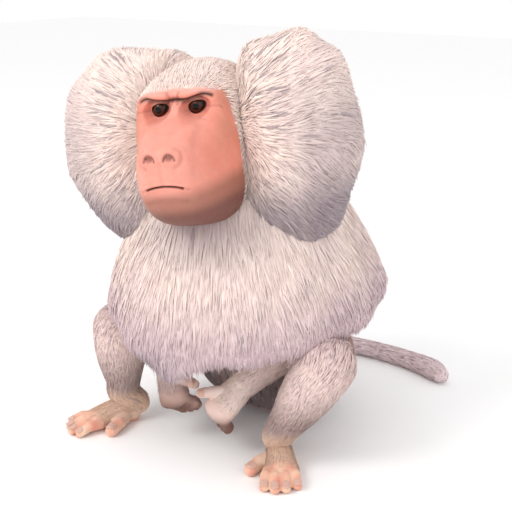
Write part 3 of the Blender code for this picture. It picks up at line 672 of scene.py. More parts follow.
def makeHeadSkin():
    # Rings closer together on the face; the crown lies inside the coat, the socket is fitted round the eye
    steps = np.linspace(0, 1, 1500)
    line = headLocal(np.stack(np.broadcast_arrays(0.17, steps), axis=-1))
    pace = np.linalg.norm(np.diff(line, axis=0), axis=-1) * (0.35 + 0.65 * fade(0.02, 0.05, line[1:, 1]))
    travelled = np.concatenate([[0], np.cumsum(pace)])
    v = np.interp(np.linspace(0, travelled[-1], skinLook["rows"]), travelled, steps)
    turn, v = np.meshgrid(np.arange(skinLook["around"]) / skinLook["around"], v)
    local = swollen(headLocal(np.stack([turn, v], axis=-1)))
    across = np.roll(local, -1, axis=1) - np.roll(local, 1, axis=1)
    out = unit(np.cross(np.gradient(local, axis=0), across))
    out *= np.sign((out * (local - np.array((0, 0.02, -0.03)))).sum(axis=-1).mean())
    face, (height, dark) = faceShare(local, 0.008), faceDetail(local)
    inward = np.array((0, -1, 0.35)) * (nostrilOval["depth"] * nostrilShare(local))[..., None]
    local = local + out * (height * face - skinLook["crownDepth"] * (1 - face))[..., None] + inward
    for side in (1, -1):
        middle, gaze, across, up = eyeFrame(side)
        ahead, a, b = ((local - middle) @ axis for axis in (gaze, across, up))
        slanted = b - eyeShape["slant"] * a * side
        oval = np.hypot(a / eyeShape["wide"], slanted / np.where(slanted > 0, eyeShape["up"], eyeShape["down"]))
        fitted = eyeBall(a, b) - eyeShape["sunk"] + eyeShape["step"] * fade(0.92, 1.06, oval)
        share = fade(1.95, 1.05, oval) * (ahead > 0)
        local = local + gaze * ((fitted - ahead) * share)[..., None]
    points, faces = closedGrid(fromHead(local))
    skin = makeObject("headSkin", points, faces)
    storeAttribute(skin, "face", np.append(face.ravel(), [0, 1]))
    storeAttribute(skin, "dark", np.append(dark.ravel(), [0, 0]))
    return skin


def offsetGrid(place, rows, around, depth, low=0.0, high=1.0):
    # A closed grid of the form, drawn in along its own normals by the coat's depth
    rings = evenGrid(place, rows, around, low, high)
    across = np.roll(rings, -1, axis=1) - np.roll(rings, 1, axis=1)
    out = unit(np.cross(np.gradient(rings, axis=0), across))
    middle = rings.mean(axis=(0, 1))
    out *= np.sign((out * (rings - middle)).sum(axis=-1).mean())
    return closedGrid(rings - out * depth)


def makeBodySkin():
    # Coat bulk, limbs and hands remeshed at their own scale, then united into one closed skin
    look, bulk = skinLook, []
    for side in (1, -1):
        rings = ruffForm(side)(ballDirections(40, 60, 0.06))
        inward = unit(rings.mean(axis=(0, 1)) - rings)
        bulk.append(closedGrid(rings + inward * look["ruffDepth"]))
    bulk.append(offsetGrid(ringForm(napeRows), 30, 60, look["napeDepth"]))
    bulk.append(offsetGrid(ringForm(mantleRows, 13, 0.020), 50, 90, look["mantleDepth"], 0, 0.95))
    skin = grownTogether("bodySkin", bulk, look["bulkVoxel"], 3)
    tail = tubeForm(thinned(tailRows, look["limbDepth"]), (0, 0, 1))
    limbs = [offsetGrid(ringForm(rumpRows), 40, 80, look["rumpDepth"]), domedTube(tail, 160, 24)]
    limbs += [ballGrid((side * 0.021, 0, 0.0070), (0.031, 0.027, 0.0140)) for side in (1, -1)]
    hands = []
    for side in (1, -1):
        for name, (rows, front) in limbForms(side).items():
            isLimb = name in ("thigh", "shank", "forearm")
            rows = thinned(rows, look["limbDepth"] if isLimb else look["handDepth"])
            count, around = (60, 40) if isLimb else (44, 28)
            (limbs if isLimb else hands).append(domedTube(jointed(tubeForm(rows, front), name), count, around))
    skin = joined(skin, grownTogether("limbs", limbs, look["limbVoxel"], 4))
    skin = joined(skin, grownTogether("hands", hands, look["handVoxel"], 2))
    points = readPoints(skin)
    points[:, 2] = np.maximum(points[:, 2], overFloor["skin"])
    skin.data.vertices.foreach_set("co", points.astype(np.float32).ravel())
    skin.data.update()
    return skin


def domedTube(place, rows, around):
    # A closed grid of a tube with the dome past each end
    return closedGrid(evenGrid(place, rows, around, -0.1, 1.1))


def thinned(rows, depth):
    # A tube's rows with the coat's depth taken off both half sizes
    rows = np.array(rows, float)
    rows[:, 3:] -= depth
    return rows


def fromCore(place, q):
    # The surface of a tube and the middle of the tube there, half way to the opposite side
    surface = place(q)
    return surface, 0.5 * (surface + place(q + np.array((0.5, 0))))


def jointed(place, name):
    # Fingers and toes swell a little at each joint and draw in between
    if not isDigit(name):
        return place

    def swelled(q):
        surface, centre = fromCore(place, q)
        joint = 0.09 * bell(q[..., 1] - 0.47, 0.09) + 0.06 * bell(q[..., 1] - 0.80, 0.07)
        return centre + (surface - centre) * (0.97 + joint)[..., None]
    return swelled


def ballGrid(centre, radii):
    # An ellipsoid with its poles above and below
    return closedGrid(np.array(centre) + ballDirections(24, 40, 0.05)[..., [0, 2, 1]] * np.array(radii))


# The root tone is painted shade deep in the coat; the belly tone is partly painted shade
coatTones = dict(
    cream=colour("#eddad0"), lavender=colour("#cbb4b7"), grey=colour("#93858b"), limb=colour("#e5cdc6"),
    shin=colour("#a48e89"), instep=colour("#dfbda4"), bellyGreyAndShade=colour("#6a5c5e"), tail=colour("#edd9da"),
    root=colour("#bfb0ae"),
)
# The crease tone darkens the face's creases and nostrils as painted shade, and the rim of the lids
skinTones = dict(
    light=colour("#e19787"), deep=colour("#d88471"), jaw=colour("#75493f"), edge=colour("#b3795e"),
    chin=colour("#8f5e4d"), crease=colour("#35170f"), palm=colour("#e4c8be"), shadedFarPalm=colour("#b0938a"),
    tips=colour("#6d4c42"), foot=colour("#e6bfa6"), toes=colour("#dfa18c"), pad=colour("#c4776c"),
)


def coatColour(points, part=""):
    # Cream above; lavender towards the hem and the flanks; pinkish grey on the limbs, tan on the feet. A
    # ruff greys towards its lower edge and its back, and painted shade greys the mantle along its hem
    tones, (x, y, z), local = coatTones, axesOf(points), toHead(points)
    level = z - 0.14 * (y + 0.06)
    patch = 0.5 + 0.5 * drift(points, 0.11, 5)
    low = 1.1 * fade(0.285, 0.165, level) + 0.30 * fade(0.10, 0.19, np.abs(x)) * patch
    shade = mix(tones["cream"], tones["lavender"], np.clip(low + 0.12 * patch, 0, 1))
    if part == "mantle":
        # Painted shade under the fringe: the mantle greys along its hem
        shade = mix(shade, tones["grey"], 0.72 * fade(0.200, 0.135, level) * (0.5 + patch))
    else:
        front = fade(-0.09, -0.12, y)
        limb = mix(tones["shin"], tones["limb"], fade(0.055, 0.125, z))
        # The near forearm is lightened towards cream: painted light
        limb = mix(limb, tones["cream"], fade(-0.01, 0.01, x) * fade(0.085, 0.060, x) * front)
        limb = mix(limb, tones["instep"], front * fade(0.060, 0.034, z))
        # The belly darkens towards a dark grey: partly its own darker coat, partly painted shadow under the
        # mantle
        bellyGreyAndShade = (1 - front) * fade(0.02, -0.02, y) * fade(0.10, 0.08, np.abs(x)) * fade(0.14, 0.11, z)
        limb = mix(limb, tones["bellyGreyAndShade"], 0.8 * bellyGreyAndShade)
        shade = mix(limb, shade, fade(0.165, 0.215, level))
    if part == "ruff":
        side, _, up = axesOf(local)
        lower = fade(-0.06, -0.15, up) * (0.80 + 0.20 * patch)
        outer = fade(0.115, 0.165, np.abs(side)) * fade(0.07, -0.03, up)
        shade = mix(shade, tones["grey"], np.clip(0.95 * lower + 0.40 * outer, 0, 0.95))
    # Painted shade under the chin: the chest below the jaw is mixed towards grey
    throatShade = np.linalg.norm((local - np.array((0, 0.075, -0.135))) / np.array((0.09, 0.07, 0.04)), axis=-1)
    shade = mix(shade, tones["grey"], 0.6 * bell(throatShade, 1.0))
    return mix(shade, tones["tail"], fade(0.09, 0.14, y) * fade(0.14, 0.10, z))


def grizzle(points, part):
    # The share of dark-tipped grey locks: many beside the face and low on the ruffs, few elsewhere
    if part != "ruff":
        return 0.02 + 0.10 * fade(0.21, 0.17, points[..., 2] - 0.14 * points[..., 1])
    side, _, up = axesOf(toHead(points))
    side = np.abs(side)
    away = np.hypot(np.maximum(side - 0.064, 0), 1.4 * np.maximum(up - 0.060, 0))
    ring = bell(away - 0.026, 0.016) * (1 - 0.7 * bell(up + 0.025, 0.030)) * fade(0.060, 0.070, side)
    under = fade(-0.08, -0.17, up) * fade(0.05, 0.09, side) * fade(0.22, 0.26, points[..., 2])
    return 0.02 + 0.32 * ring + 0.30 * under


def limbBareness(points):
    # 1 on palms, fingers, soles, toes and the pads of the seat, 0 where there is short coat
    x, y, z = axesOf(points)
    bare = fade(1.1, 0.9, np.hypot(x / 0.055, y / 0.030)) * fade(0.024, 0.016, z)
    for side in (1, -1):
        wrist, palm, tips = (np.array(arms[side][key]) for key in ("wrist", "palm", "tips"))
        reach = (points - wrist) @ unit(palm - wrist)
        near = np.linalg.norm(points - between(palm, tips, 0.35), axis=-1) < 0.062
        bare = np.maximum(bare, fade(0.022, 0.046, reach) * near)
        turn, heel = math.radians(legs[side]["heading"]), legs[side]["heel"]
        ahead = (x - heel[0]) * math.sin(turn) - (y - heel[1]) * math.cos(turn)
        aside = (x - heel[0]) * math.cos(turn) + (y - heel[1]) * math.sin(turn)
        foot = (np.abs(aside) < 0.06) & (ahead > -0.03) & (ahead < 0.13) & (z < 0.05)
        ball = np.maximum(fade(0.052, 0.078, ahead), fade(0.010, 0.004, z))
        bare = np.maximum(bare, np.maximum(ball, fade(0.022, 0.034, -aside * side)) * foot)
    return bare


def skinColour(points, inFace, dark):
    # Face, hands, feet and seat each with its own pinks; the underfur everywhere else
    tones, (x, y, z), (side, _, up) = skinTones, axesOf(points), axesOf(toHead(points))
    half = np.abs(side)
    patch = 0.5 + 0.5 * drift(points, 0.028, 11)
    cheek = fade(0.024, 0.052, half) * fade(0.05, 0.02, up)
    face = mix(tones["light"], tones["deep"], np.clip(0.12 + 0.65 * cheek + 0.25 * (patch - 0.5), 0, 1))
    temple = fade(0.044, 0.058, half) * fade(-0.05, 0.0, up)
    face = mix(face, tones["edge"], 0.60 * temple * (0.6 + 0.4 * patch))
    # Darker brown towards the chin, under the jaw and low on its sides: partly the skin's own tone, partly
    # painted shade on the underside
    face = mix(face, tones["chin"], 0.8 * fade(-0.052, -0.074, up))
    shadedJawSide = 0.40 * fade(0.048, 0.066, half) * fade(-0.055, -0.10, up)
    face = mix(face, tones["jaw"], np.maximum(fade(-0.076, -0.096, up), shadedJawSide))
    # Painted shade darkens the creases and the nostrils
    face = mix(face, tones["crease"], dark)
    foot = mix(tones["foot"], tones["toes"], 0.5 + 0.5 * drift(points, 0.03, 3))
    # The far hand's palm is darker in painted shade, the near palm lighter in painted light
    palm = mix(tones["shadedFarPalm"], tones["palm"], fade(-0.01, 0.01, x))
    # Fingers turn brown towards their tips, low down: painted shade
    hand = mix(palm, tones["tips"], 0.08 + 0.90 * fade(0.070, 0.046, z))
    inHand = (np.hypot(x, y + 0.17) < 0.075) & (z > 0.018)
    bare = np.where(inHand[..., None], hand, foot)
    bare = np.where((np.hypot(x, y) < 0.08)[..., None], tones["pad"], bare)
    # The underfur leans towards the root tone: painted shade deep in the coat
    underfur = mix(coatColour(points), coatTones["root"], 0.22)
    bareness = limbBareness(points)
    return mix(mix(underfur, bare, bareness), face, inFace), np.maximum(inFace, bareness)


def addNode(tree, kind, inputs=None, **settings):
    # A node with its settings made, and each input either linked from a socket or set to a value
    made = tree.nodes.new("ShaderNode" + kind)
    for key, value in settings.items():
        setattr(made, key, value)
    for key, value in (inputs or {}).items():
        if isinstance(value, bpy.types.NodeSocket):
            tree.links.new(value, made.inputs[key])
        else:
            made.inputs[key].default_value = value
    return made


def emptyMaterial(name):
    material = bpy.data.materials.new(name)
    material.use_nodes = True
    material.node_tree.nodes.clear()
    return material, material.node_tree


def finishMaterial(tree, **inputs):
    # The surface with these inputs, their names written with _ for a space
    names = {key.replace("_", " "): value for key, value in inputs.items()}
    surface = addNode(tree, "BsdfPrincipled", names)
    addNode(tree, "OutputMaterial", {"Surface": surface.outputs[0]})


def stored(tree, name, kind):
    # An attribute of the mesh: its "Color", "Vector" or "Fac"
    return addNode(tree, "Attribute", attribute_name=name).outputs[kind]


def reckoned(tree, operation, first, second):
    return addNode(tree, "Math", {0: first, 1: second}, operation=operation).outputs[0]


def blended(tree, low, high, share):
    # Two plain values mixed, which this node takes at 2 and 3
    return addNode(tree, "Mix", {0: share, 2: low, 3: high}).outputs[0]


def tint(tree, base, other, share, kind="MIX"):
    # Two colours mixed, which this node takes at 6 and 7
    inputs = {0: share, 6: base, 7: other}
    return addNode(tree, "Mix", inputs, data_type="RGBA", blend_type=kind).outputs[2]


def noise(tree, vector, scale, detail=3.0, roughness=0.55):
    inputs = {"Vector": vector, "Scale": scale, "Detail": detail, "Roughness": roughness}
    return addNode(tree, "TexNoise", inputs).outputs[0]


def scaled(tree, vector, *scale):
    return addNode(tree, "Mapping", {"Vector": vector, "Scale": scale}).outputs[0]


def ranged(tree, value, low, high, newLow, newHigh):
    inputs = {0: value, 1: low, 2: high, 3: newLow, 4: newHigh}
    return addNode(tree, "MapRange", inputs).outputs[0]


def bumped(tree, height, strength, distance):
    inputs = {"Height": height, "Strength": strength, "Distance": distance}
    return addNode(tree, "Bump", inputs).outputs[0]


def grey(value):
    return (value, value, value, 1)


def makeSkinMaterial():
    # Bare pink skin: it looks soft and slightly damp, mottled over millimetres, with fine pores and lines;
    # where the coat covers it, matt underfur streaked down the body
    material, tree = emptyMaterial("bare skin and underfur")
    bare, place = stored(tree, "bare", "Fac"), addNode(tree, "TexCoord").outputs["Object"]
    shade = tint(tree, grey(0.90), grey(1.08), noise(tree, place, 140, 4))
    base = tint(tree, stored(tree, "ground", "Color"), shade, 1.0, "MULTIPLY")
    patch = tint(tree, (1.04, 0.93, 0.91, 1), (0.99, 1.04, 1.04, 1), noise(tree, place, 38, 2))
    base = tint(tree, base, patch, 0.7, "MULTIPLY")
    pores = addNode(tree, "TexVoronoi", {"Vector": place, "Scale": 1150.0}).outputs["Distance"]
    lines = noise(tree, place, 420, 5, 0.65)
    fur = noise(tree, scaled(tree, place, 900, 900, 90), 1.0, 3)
    height = blended(tree, fur, ranged(tree, pores, 0, 0.6, 0, 0.35), bare)
    rough = blended(tree, 0.9, ranged(tree, lines, 0.3, 0.7, 0.42, 0.58), bare)
    finishMaterial(
        tree, Base_Color=base, Roughness=rough, Subsurface_Weight=0.12, Subsurface_Radius=(0.9, 0.35, 0.2),
        Subsurface_Scale=0.004, Specular_IOR_Level=0.4,
        Normal=bumped(tree, reckoned(tree, "ADD", height, lines), 0.35, 0.0006),
    )
    return material


def makeCoatMaterial(name, streaks, rootShade, roughness):
    # Hair: locks darker and greyer at the root in painted shade, paler at the tip, each split by fine streaks
    # along it
    material, tree = emptyMaterial(name)
    parts = addNode(tree, "SeparateXYZ", {0: stored(tree, "strand", "Vector")}).outputs
    seed = reckoned(tree, "MULTIPLY", parts[2], 61.0)
    across = reckoned(tree, "ADD", reckoned(tree, "MULTIPLY", parts[0], streaks), seed)
    along = reckoned(tree, "MULTIPLY", parts[1], 1.6)
    streak = noise(tree, addNode(tree, "CombineXYZ", {0: across, 1: along, 2: seed}).outputs[0], 1.0, 2)
    base = stored(tree, "ground", "Color")
    base = tint(tree, base, tint(tree, grey(0.84), grey(1.12), streak), 1.0, "MULTIPLY")
    base = tint(tree, base, tint(tree, (0.88, 0.86, 0.88, 1), grey(1.07), parts[2]), 1.0, "MULTIPLY")
    # The darker root is painted shade deep in the coat
    base = tint(tree, base, (*rootShade, 1), ranged(tree, parts[1], 0.0, 0.45, 1.0, 0.0), "MULTIPLY")
    finishMaterial(
        tree, Base_Color=base, Roughness=roughness, Normal=bumped(tree, streak, 0.2, 0.0002),
        Specular_IOR_Level=0.2, Sheen_Weight=0.15, Sheen_Roughness=0.5,
    )
    return material


def makeEyeMaterial():
    # Wet eye: a sharp gloss over a red-brown iris with spokes, a black pupil and a dark brown white of the eye
    material, tree = emptyMaterial("wet eye")
    fromGaze = stored(tree, "fromGaze", "Fac")
    fibres = noise(tree, stored(tree, "spoke", "Vector"), 5.0, 3)
    base = tint(tree, opaque("#1c0a05"), opaque("#5a2510"), fibres)
    base = tint(tree, base, opaque("#0e0604"), ranged(tree, fromGaze, 0.46, 0.66, 0.0, 1.0))  # rim of the iris
    base = tint(tree, grey(0.001), base, ranged(tree, fromGaze, 0.30, 0.34, 0.0, 1.0))  # pupil
    base = tint(tree, base, opaque("#140a07"), ranged(tree, fromGaze, 0.68, 0.74, 0.0, 1.0))  # white of the eye
    finishMaterial(tree, Base_Color=base, Roughness=0.05, Specular_IOR_Level=0.22)
    return material


def makeNailMaterial():
    # Horn of the nails: greyish pink, faintly ribbed lengthways, with a dull shine
    material, tree = emptyMaterial("nail horn")
    ribs = noise(tree, scaled(tree, addNode(tree, "TexCoord").outputs["Object"], 1500, 1500, 250), 1.0)
    base = tint(tree, opaque("#b98f80"), opaque("#dcb6a6"), ribs)
    finishMaterial(tree, Base_Color=base, Roughness=0.38, Normal=bumped(tree, ribs, 0.2, 0.0003))
    return material


materials = dict(
    skin=makeSkinMaterial(), eye=makeEyeMaterial(), nail=makeNailMaterial(),
    longCoat=makeCoatMaterial("long white coat", streaks=7.0, rootShade=(0.88, 0.85, 0.86), roughness=0.70),
    shortCoat=makeCoatMaterial("short limb coat", streaks=4.0, rootShade=(0.90, 0.86, 0.86), roughness=0.75),
)


def dressed(piece, material):
    # Gives the piece its material and slot, and lets it ride on the one body
    piece.data.materials.clear()
    piece.data.materials.append(materials[material])
    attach(piece, "root")


def colourSkin(piece):
    # Stores the skin's colour and where it is bare, as the skin material reads them
    points = readPoints(piece)
    isHead = "face" in piece.data.attributes
    marks = [readAttribute(piece, name) if isHead else np.zeros(len(points)) for name in ("face", "dark")]
    ground, bare = skinColour(points, *marks)
    storeGround(piece, ground)
    storeAttribute(piece, "bare", bare)


headNodes = ("head", "jaw")
headSkin, bodySkin = makeHeadSkin(), makeBodySkin()
for piece, slot in ((headSkin, "face_skin"), (bodySkin, "hand_skin")):
    colourSkin(piece)
    dressed(piece, "skin")
    piece.data.calc_loop_triangles()
    print(piece.name, len(piece.data.loop_triangles), "triangles")
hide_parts(*headNodes)
others = [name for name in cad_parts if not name.startswith("eye") and name not in headNodes]
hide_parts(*others)


def makeEye(side):
    # A ball with a low bulge over the iris, its own pole on the gaze
    middle, gaze, across, up = eyeFrame(side)
    lean = np.concatenate([np.linspace(0.02, 0.8, 50), np.linspace(0.85, 3.1, 30)])[:, None]
    turn = (np.arange(72) / 72 * 2 * np.pi)[None]
    radius = eyeShape["radius"] + 0.0006 * bell(lean, 0.42)
    ring = np.sin(lean)[..., None] * (np.cos(turn)[..., None] * across + np.sin(turn)[..., None] * up)
    local = middle + radius[..., None] * (np.cos(lean)[..., None] * gaze + ring)
    points, faces = closedGrid(fromHead(local))
    eye = makeObject(f"eye{sideNames[side].title()}", points, faces)
    fromGaze = np.concatenate([np.broadcast_to(lean, ring.shape[:2]).ravel(), [0, np.pi]])
    spokes = np.stack(np.broadcast_arrays(np.cos(turn) * 2, np.sin(turn) * 2, lean * 0.6), axis=-1)
    storeAttribute(eye, "fromGaze", fromGaze)
    storeAttribute(eye, "spoke", np.concatenate([spokes.reshape(-1, 3), np.zeros((2, 3))]))
    dressed(eye, "eye")
    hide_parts(f"eye_{sideNames[side]}")


def makeLids(side):
    # The edge of both lids as one ring that lies on the ball round the opening: a rounded rim, a slope
    # outwards and a return under the skin
    shape, (middle, gaze, across, up) = eyeShape, eyeFrame(side)
    turn, edge = (np.arange(160) / 160 * 2 * np.pi)[None], np.linspace(-np.pi / 2, np.pi / 2, 7)
    rim, slope = shape["lid"] * (0.5 + 0.5 * np.sin(edge)), shape["lid"] - 0.0022 * np.linspace(0, 1, 14) ** 2
    spread = np.concatenate([1 - 0.03 * np.cos(edge), np.linspace(1.02, 1.42, 14), np.linspace(1.38, 1.04, 6)])
    spread, lift = spread[:, None], np.concatenate([rim, slope, np.full(6, -0.0016)])[:, None]
    a = shape["wide"] * spread * np.cos(turn)
    b = np.where(np.sin(turn) > 0, shape["up"], shape["down"]) * spread * np.sin(turn) + shape["slant"] * a
    a = a * side
    points = middle + (eyeBall(a, b) + lift)[..., None] * gaze + a[..., None] * across + b[..., None] * up
    rows, around = points.shape[:2]
    row, step = np.meshgrid(np.arange(rows), np.arange(around), indexing="ij")
    nextRow, nextStep = (row + 1) % rows * around, (step + 1) % around
    first, second = row * around + step, row * around + nextStep
    third, fourth = nextRow + nextStep, nextRow + step
    faces = np.stack([first, second, third, first, third, fourth], axis=-1).reshape(-1, 3)
    points = fromHead(points.reshape(-1, 3))
    lids = makeObject(f"lids{sideNames[side].title()}", points, outwardFaces(points, faces))
    dark = np.broadcast_to(0.95 * fade(1.16, 1.0, spread), (rows, around)).ravel()
    storeGround(lids, skinColour(points, np.ones(len(points)), dark)[0])
    storeAttribute(lids, "bare", np.ones(len(points)))
    dressed(lids, "skin")


for side in (1, -1):
    makeEye(side)
    makeLids(side)
print("eyes and lids made")


nailLook = dict(
    rows=16, around=28, start=0.78, reach=0.265, turn=0.25, spread=0.136, bigToeSpread=0.160, gap=0.0003,
    crown=0.00055, tip=0.0012,
)


def makeNails(side):
    # A nail is a patch of its digit lifted by a crowned profile, turned under at its edges
    look, grids = nailLook, []
    along = np.linspace(0, 1, look["rows"])[:, None]
    loop = (np.arange(look["around"]) / look["around"] * 2 * np.pi)[None]
    crown = np.sin(loop) * np.sin(np.pi * np.clip(along, 0.03, 0.97)) ** 0.4
    lift = look["gap"] + look["crown"] * crown + look["tip"] * fade(0.75, 1.0, along)
    outline = np.sqrt(np.clip(1 - np.abs(2 * along - 1) ** 5, 0.05, 1)) * np.cos(loop)
    for name, (rows, front) in limbForms(side).items():
        if not isDigit(name):
            continue
        place, spread = tubeForm(rows, front), look["bigToeSpread" if name == "bigToe" else "spread"]
        turn, v = look["turn"] + spread * outline, look["start"] + look["reach"] * along
        surface, centre = fromCore(place, np.stack(np.broadcast_arrays(turn, v), axis=-1))
        grids.append(closedGrid(surface + unit(surface - centre) * lift[..., None]))
    points, faces = stacked(grids)
    points[:, 2] = np.maximum(points[:, 2], overFloor["nails"])
    dressed(makeObject(f"nails{sideNames[side].title()}", points, faces), "nail")


for side in (1, -1):
    makeNails(side)
print("nails made")


def lockTemplate(rings):
    # One lock: rings of three corners that taper to a point. Returns local faces and the corner places
    # (across, along) for the unwrap, three columns side by side.
    faces, places = [], []
    for ring in range(rings):
        low, high = ring / rings, (ring + 1) / rings
        for j in range(3):
            a, b = ring * 3 + j, ring * 3 + (j + 1) % 3
            left, right = j / 3, (j + 1) / 3
            if ring < rings - 1:
                faces += [(a, b, b + 3), (a, b + 3, a + 3)]
                places.append(((left, low), (right, low), (right, high)))
                places.append(((left, low), (right, high), (left, high)))
            else:
                faces.append((a, b, rings * 3))
                places.append(((left, low), (right, low), ((left + right) / 2, 1)))
    faces.append((0, 2, 1))
    places.append(((0, 0), (0.5, -0.2), (1, 0)))
    return np.array(faces), np.array(places, float)


def flowForm(place, lie=1.0, veer=None):
    # A form read by (turn, v), its coat lying along v, or against it where lie is -1
    def along(q):
        direction = np.broadcast_to((0.0, lie), q.shape).copy()
        if veer is not None:
            direction[..., 0] = veer(q)
        return direction
    return dict(place=place, along=along, across=lambda q: np.broadcast_to((1.0, 0.0), q.shape))


def ballFlow(place, source, sink):
    # The coat runs from a source over a ball-like form to a sink: on the unit ball it is
    # (d - source) / |d - source|^2 + (sink - d) / |sink - d|^2, made to touch the ball
    source, sink = unit(np.array(source, float)), unit(np.array(sink, float))

    def along(d):
        d = unit(d)
        away, home = d - source, sink - d
        flow = away / np.maximum((away**2).sum(axis=-1, keepdims=True), 1e-3)
        flow = flow + home / np.maximum((home**2).sum(axis=-1, keepdims=True), 1e-3)
        return unit(flow - (flow * d).sum(axis=-1, keepdims=True) * d)
    return dict(place=place, along=along, across=lambda d: np.cross(unit(d), along(d)), ball=True)


def readFlow(form, q, step=0.0015):
    # The point, the parameter steps that move one metre along and across the lie, the normal, and the area
    # that a unit of the parameters covers
    here, steps, runs = form["place"](q), [form["along"](q), form["across"](q)], []
    for k, way in enumerate(steps):
        run = (form["place"](q + way * step) - here) / step
        steps[k] = way / np.maximum(np.linalg.norm(run, axis=-1, keepdims=True), 1e-3)
        runs.append(run)
    spin = np.cross(*runs)
    return here, *steps, unit(spin), np.linalg.norm(spin, axis=-1)


evenSteps = (0.7548776662, 0.5698402910)  # the plane's golden ratio: repeated steps of it never line up


def scatterRoots(form, count, keep, pick, low=0.0, high=1.0):
    # Roots by a golden-ratio sequence, thinned so that each square millimetre gets as many as `keep` asks
    index = np.arange(count * 10) + 0.5
    first, second = ((index * step) % 1 for step in evenSteps)
    if form.get("ball"):
        rise, ring = 1 - 2 * first, 2 * np.pi * second
        level = np.sqrt(1 - rise**2)
        q = np.stack([level * np.cos(ring), rise, level * np.sin(ring)], axis=-1)
    else:
        q = np.stack([first, low + (high - low) * second], axis=-1)
    here, _, _, _, area = readFlow(form, q)
    chance = area * keep(here, q)
    chance = chance * count / chance.sum()
    return q[pick.random(len(q)) < chance]


def lockSpines(form, q, roots, size, look, pick, seed):
    # Each spine steps along the lie, wanders a little and lifts from the root's depth to just over the form
    count, rings, length = len(q), look["rings"], look["length"] * size
    if "end" in look:
        # No lock reaches far beyond the form's own end
        pace = np.abs(readFlow(form, q)[1][:, 1])
        room = (look["end"] + look["fringe"] * pick.normal(0, 1, count) - q[:, 1]) / pace
        length = np.clip(length, 0.006, np.maximum(room, 0.006))
    wander = look["wander"] * (pick.normal(0, 0.6, count) + drift(roots, look["clump"], seed))
    bend = look["wander"] * 0.8 * pick.normal(0, 1, count)
    depth = look["depth"] * pick.uniform(0.55, 1.0, count)
    rise = look["rise"] * (0.35 + pick.gamma(2, 0.4, count))
    if "lift" in look:
        rise = rise + look["lift"](roots)
    centres, outs, at = [], [], q
    for share in np.linspace(0, 1, rings + 1):
        here, along, across, out, _ = readFlow(form, at)
        outs.append(out * form["sign"])
        centres.append(here + outs[-1] * ((depth + rise) * share ** look["curve"] - depth)[:, None])
        turn = (wander + bend * (share - 0.3))[:, None]
        at = at + (along * np.cos(turn) + across * np.sin(turn)) * (length / rings)[:, None]
    centres, outs = np.stack(centres, axis=1), np.stack(outs, axis=1)
    # A lock that a tight bend of the form has thrown far off isn't kept
    kept = np.linalg.norm(centres[:, -1] - centres[:, 0], axis=-1) < 1.15 * length + 0.003
    return centres, outs, kept


def lockMesh(centres, outs, size, look, pick):
    # A lock's section is a flat triangle across its spine, which tapers to a point
    count, rings = len(centres), look["rings"]
    tangent = unit(np.gradient(centres, axis=1))
    side = unit(np.cross(tangent, outs))
    up, body = np.cross(side, tangent), centres[:, :-1]
    share = np.linspace(0, 1, rings + 1)[:-1]
    taper = np.interp(share, (0, 0.3, 0.7, 1.0), (0.75, 1.0, 0.72, 0.0)) * look["width"]
    half = taper * (0.5 * size ** 0.5 * pick.uniform(0.7, 1.25, count))[:, None]
    sides, ridge = side[:, :-1] * half[..., None], up[:, :-1] * (half * look["plump"])[..., None]
    section = np.stack([body - sides, body + ridge, body + sides], axis=2).reshape(count, -1, 3)
    points = np.concatenate([section, centres[:, -1:]], axis=1)
    local, places = lockTemplate(rings)
    a, b, c = (points[:, corner] for corner in local[0])
    if (np.cross(b - a, c - a) * ((a + b + c) / 3 - body[:, 0])).sum() < 0:
        local, places = local[:, ::-1], places[:, ::-1]
    faces = (np.arange(count)[:, None, None] * (rings * 3 + 1) + local).reshape(-1, 3)
    return points.reshape(-1, 3), faces, places


def growCoat(name, form, look, keep, seed, low=0.0, high=1.0):
    # Locks from roots on the form, each with its own colour and a place in the unwrap where it grows
    pick, part = np.random.default_rng(seed), look.get("part", "")
    q = scatterRoots(form, look["count"], keep, pick, low, high)
    roots = form["place"](q)
    size = np.exp(pick.normal(0, 0.16, len(q)))
    if "scale" in look:
        size = size * look["scale"](roots)
    centres, outs, kept = lockSpines(form, q, roots, size, look, pick, seed)
    centres, outs, q, roots, size = (values[kept] for values in (centres, outs, q, roots, size))
    points, faces, places = lockMesh(centres, outs, size, look, pick)
    points[:, 2] = np.maximum(points[:, 2], overFloor["coat"])
    piece = makeObject(name, points, faces)
    piece.data.polygons.foreach_set("use_smooth", np.zeros(len(faces), bool))
    root = form["unwrap"](q) if "unwrap" in form else q
    unwrap = 0.02 + 0.95 * np.clip(root, 0, 1)[:, None, None] + places * 0.003
    piece.data.uv_layers.new(name="OFBake").data.foreach_set("uv", unwrap.astype(np.float32).ravel())
    count, rings = len(q), look["rings"]
    corners = rings * 3 + 1
    seeds = np.repeat(pick.random(count), corners)
    across = np.tile(np.append(np.tile((0, 0.5, 1.0), rings), 0.5), count)
    along = np.tile(np.append(np.repeat(np.arange(rings) / rings, 3), 1.0), count)
    storeAttribute(piece, "strand", np.stack([across, along, seeds], axis=-1))
    dark = (pick.random(count) < grizzle(roots, part)) * pick.uniform(0.25, 0.85, count)
    storeGround(piece, mix(coatColour(points, part), coatTones["grey"], np.repeat(dark, corners)))
    dressed(piece, look["material"])
    print(name, count, "locks,", len(faces), "faces")


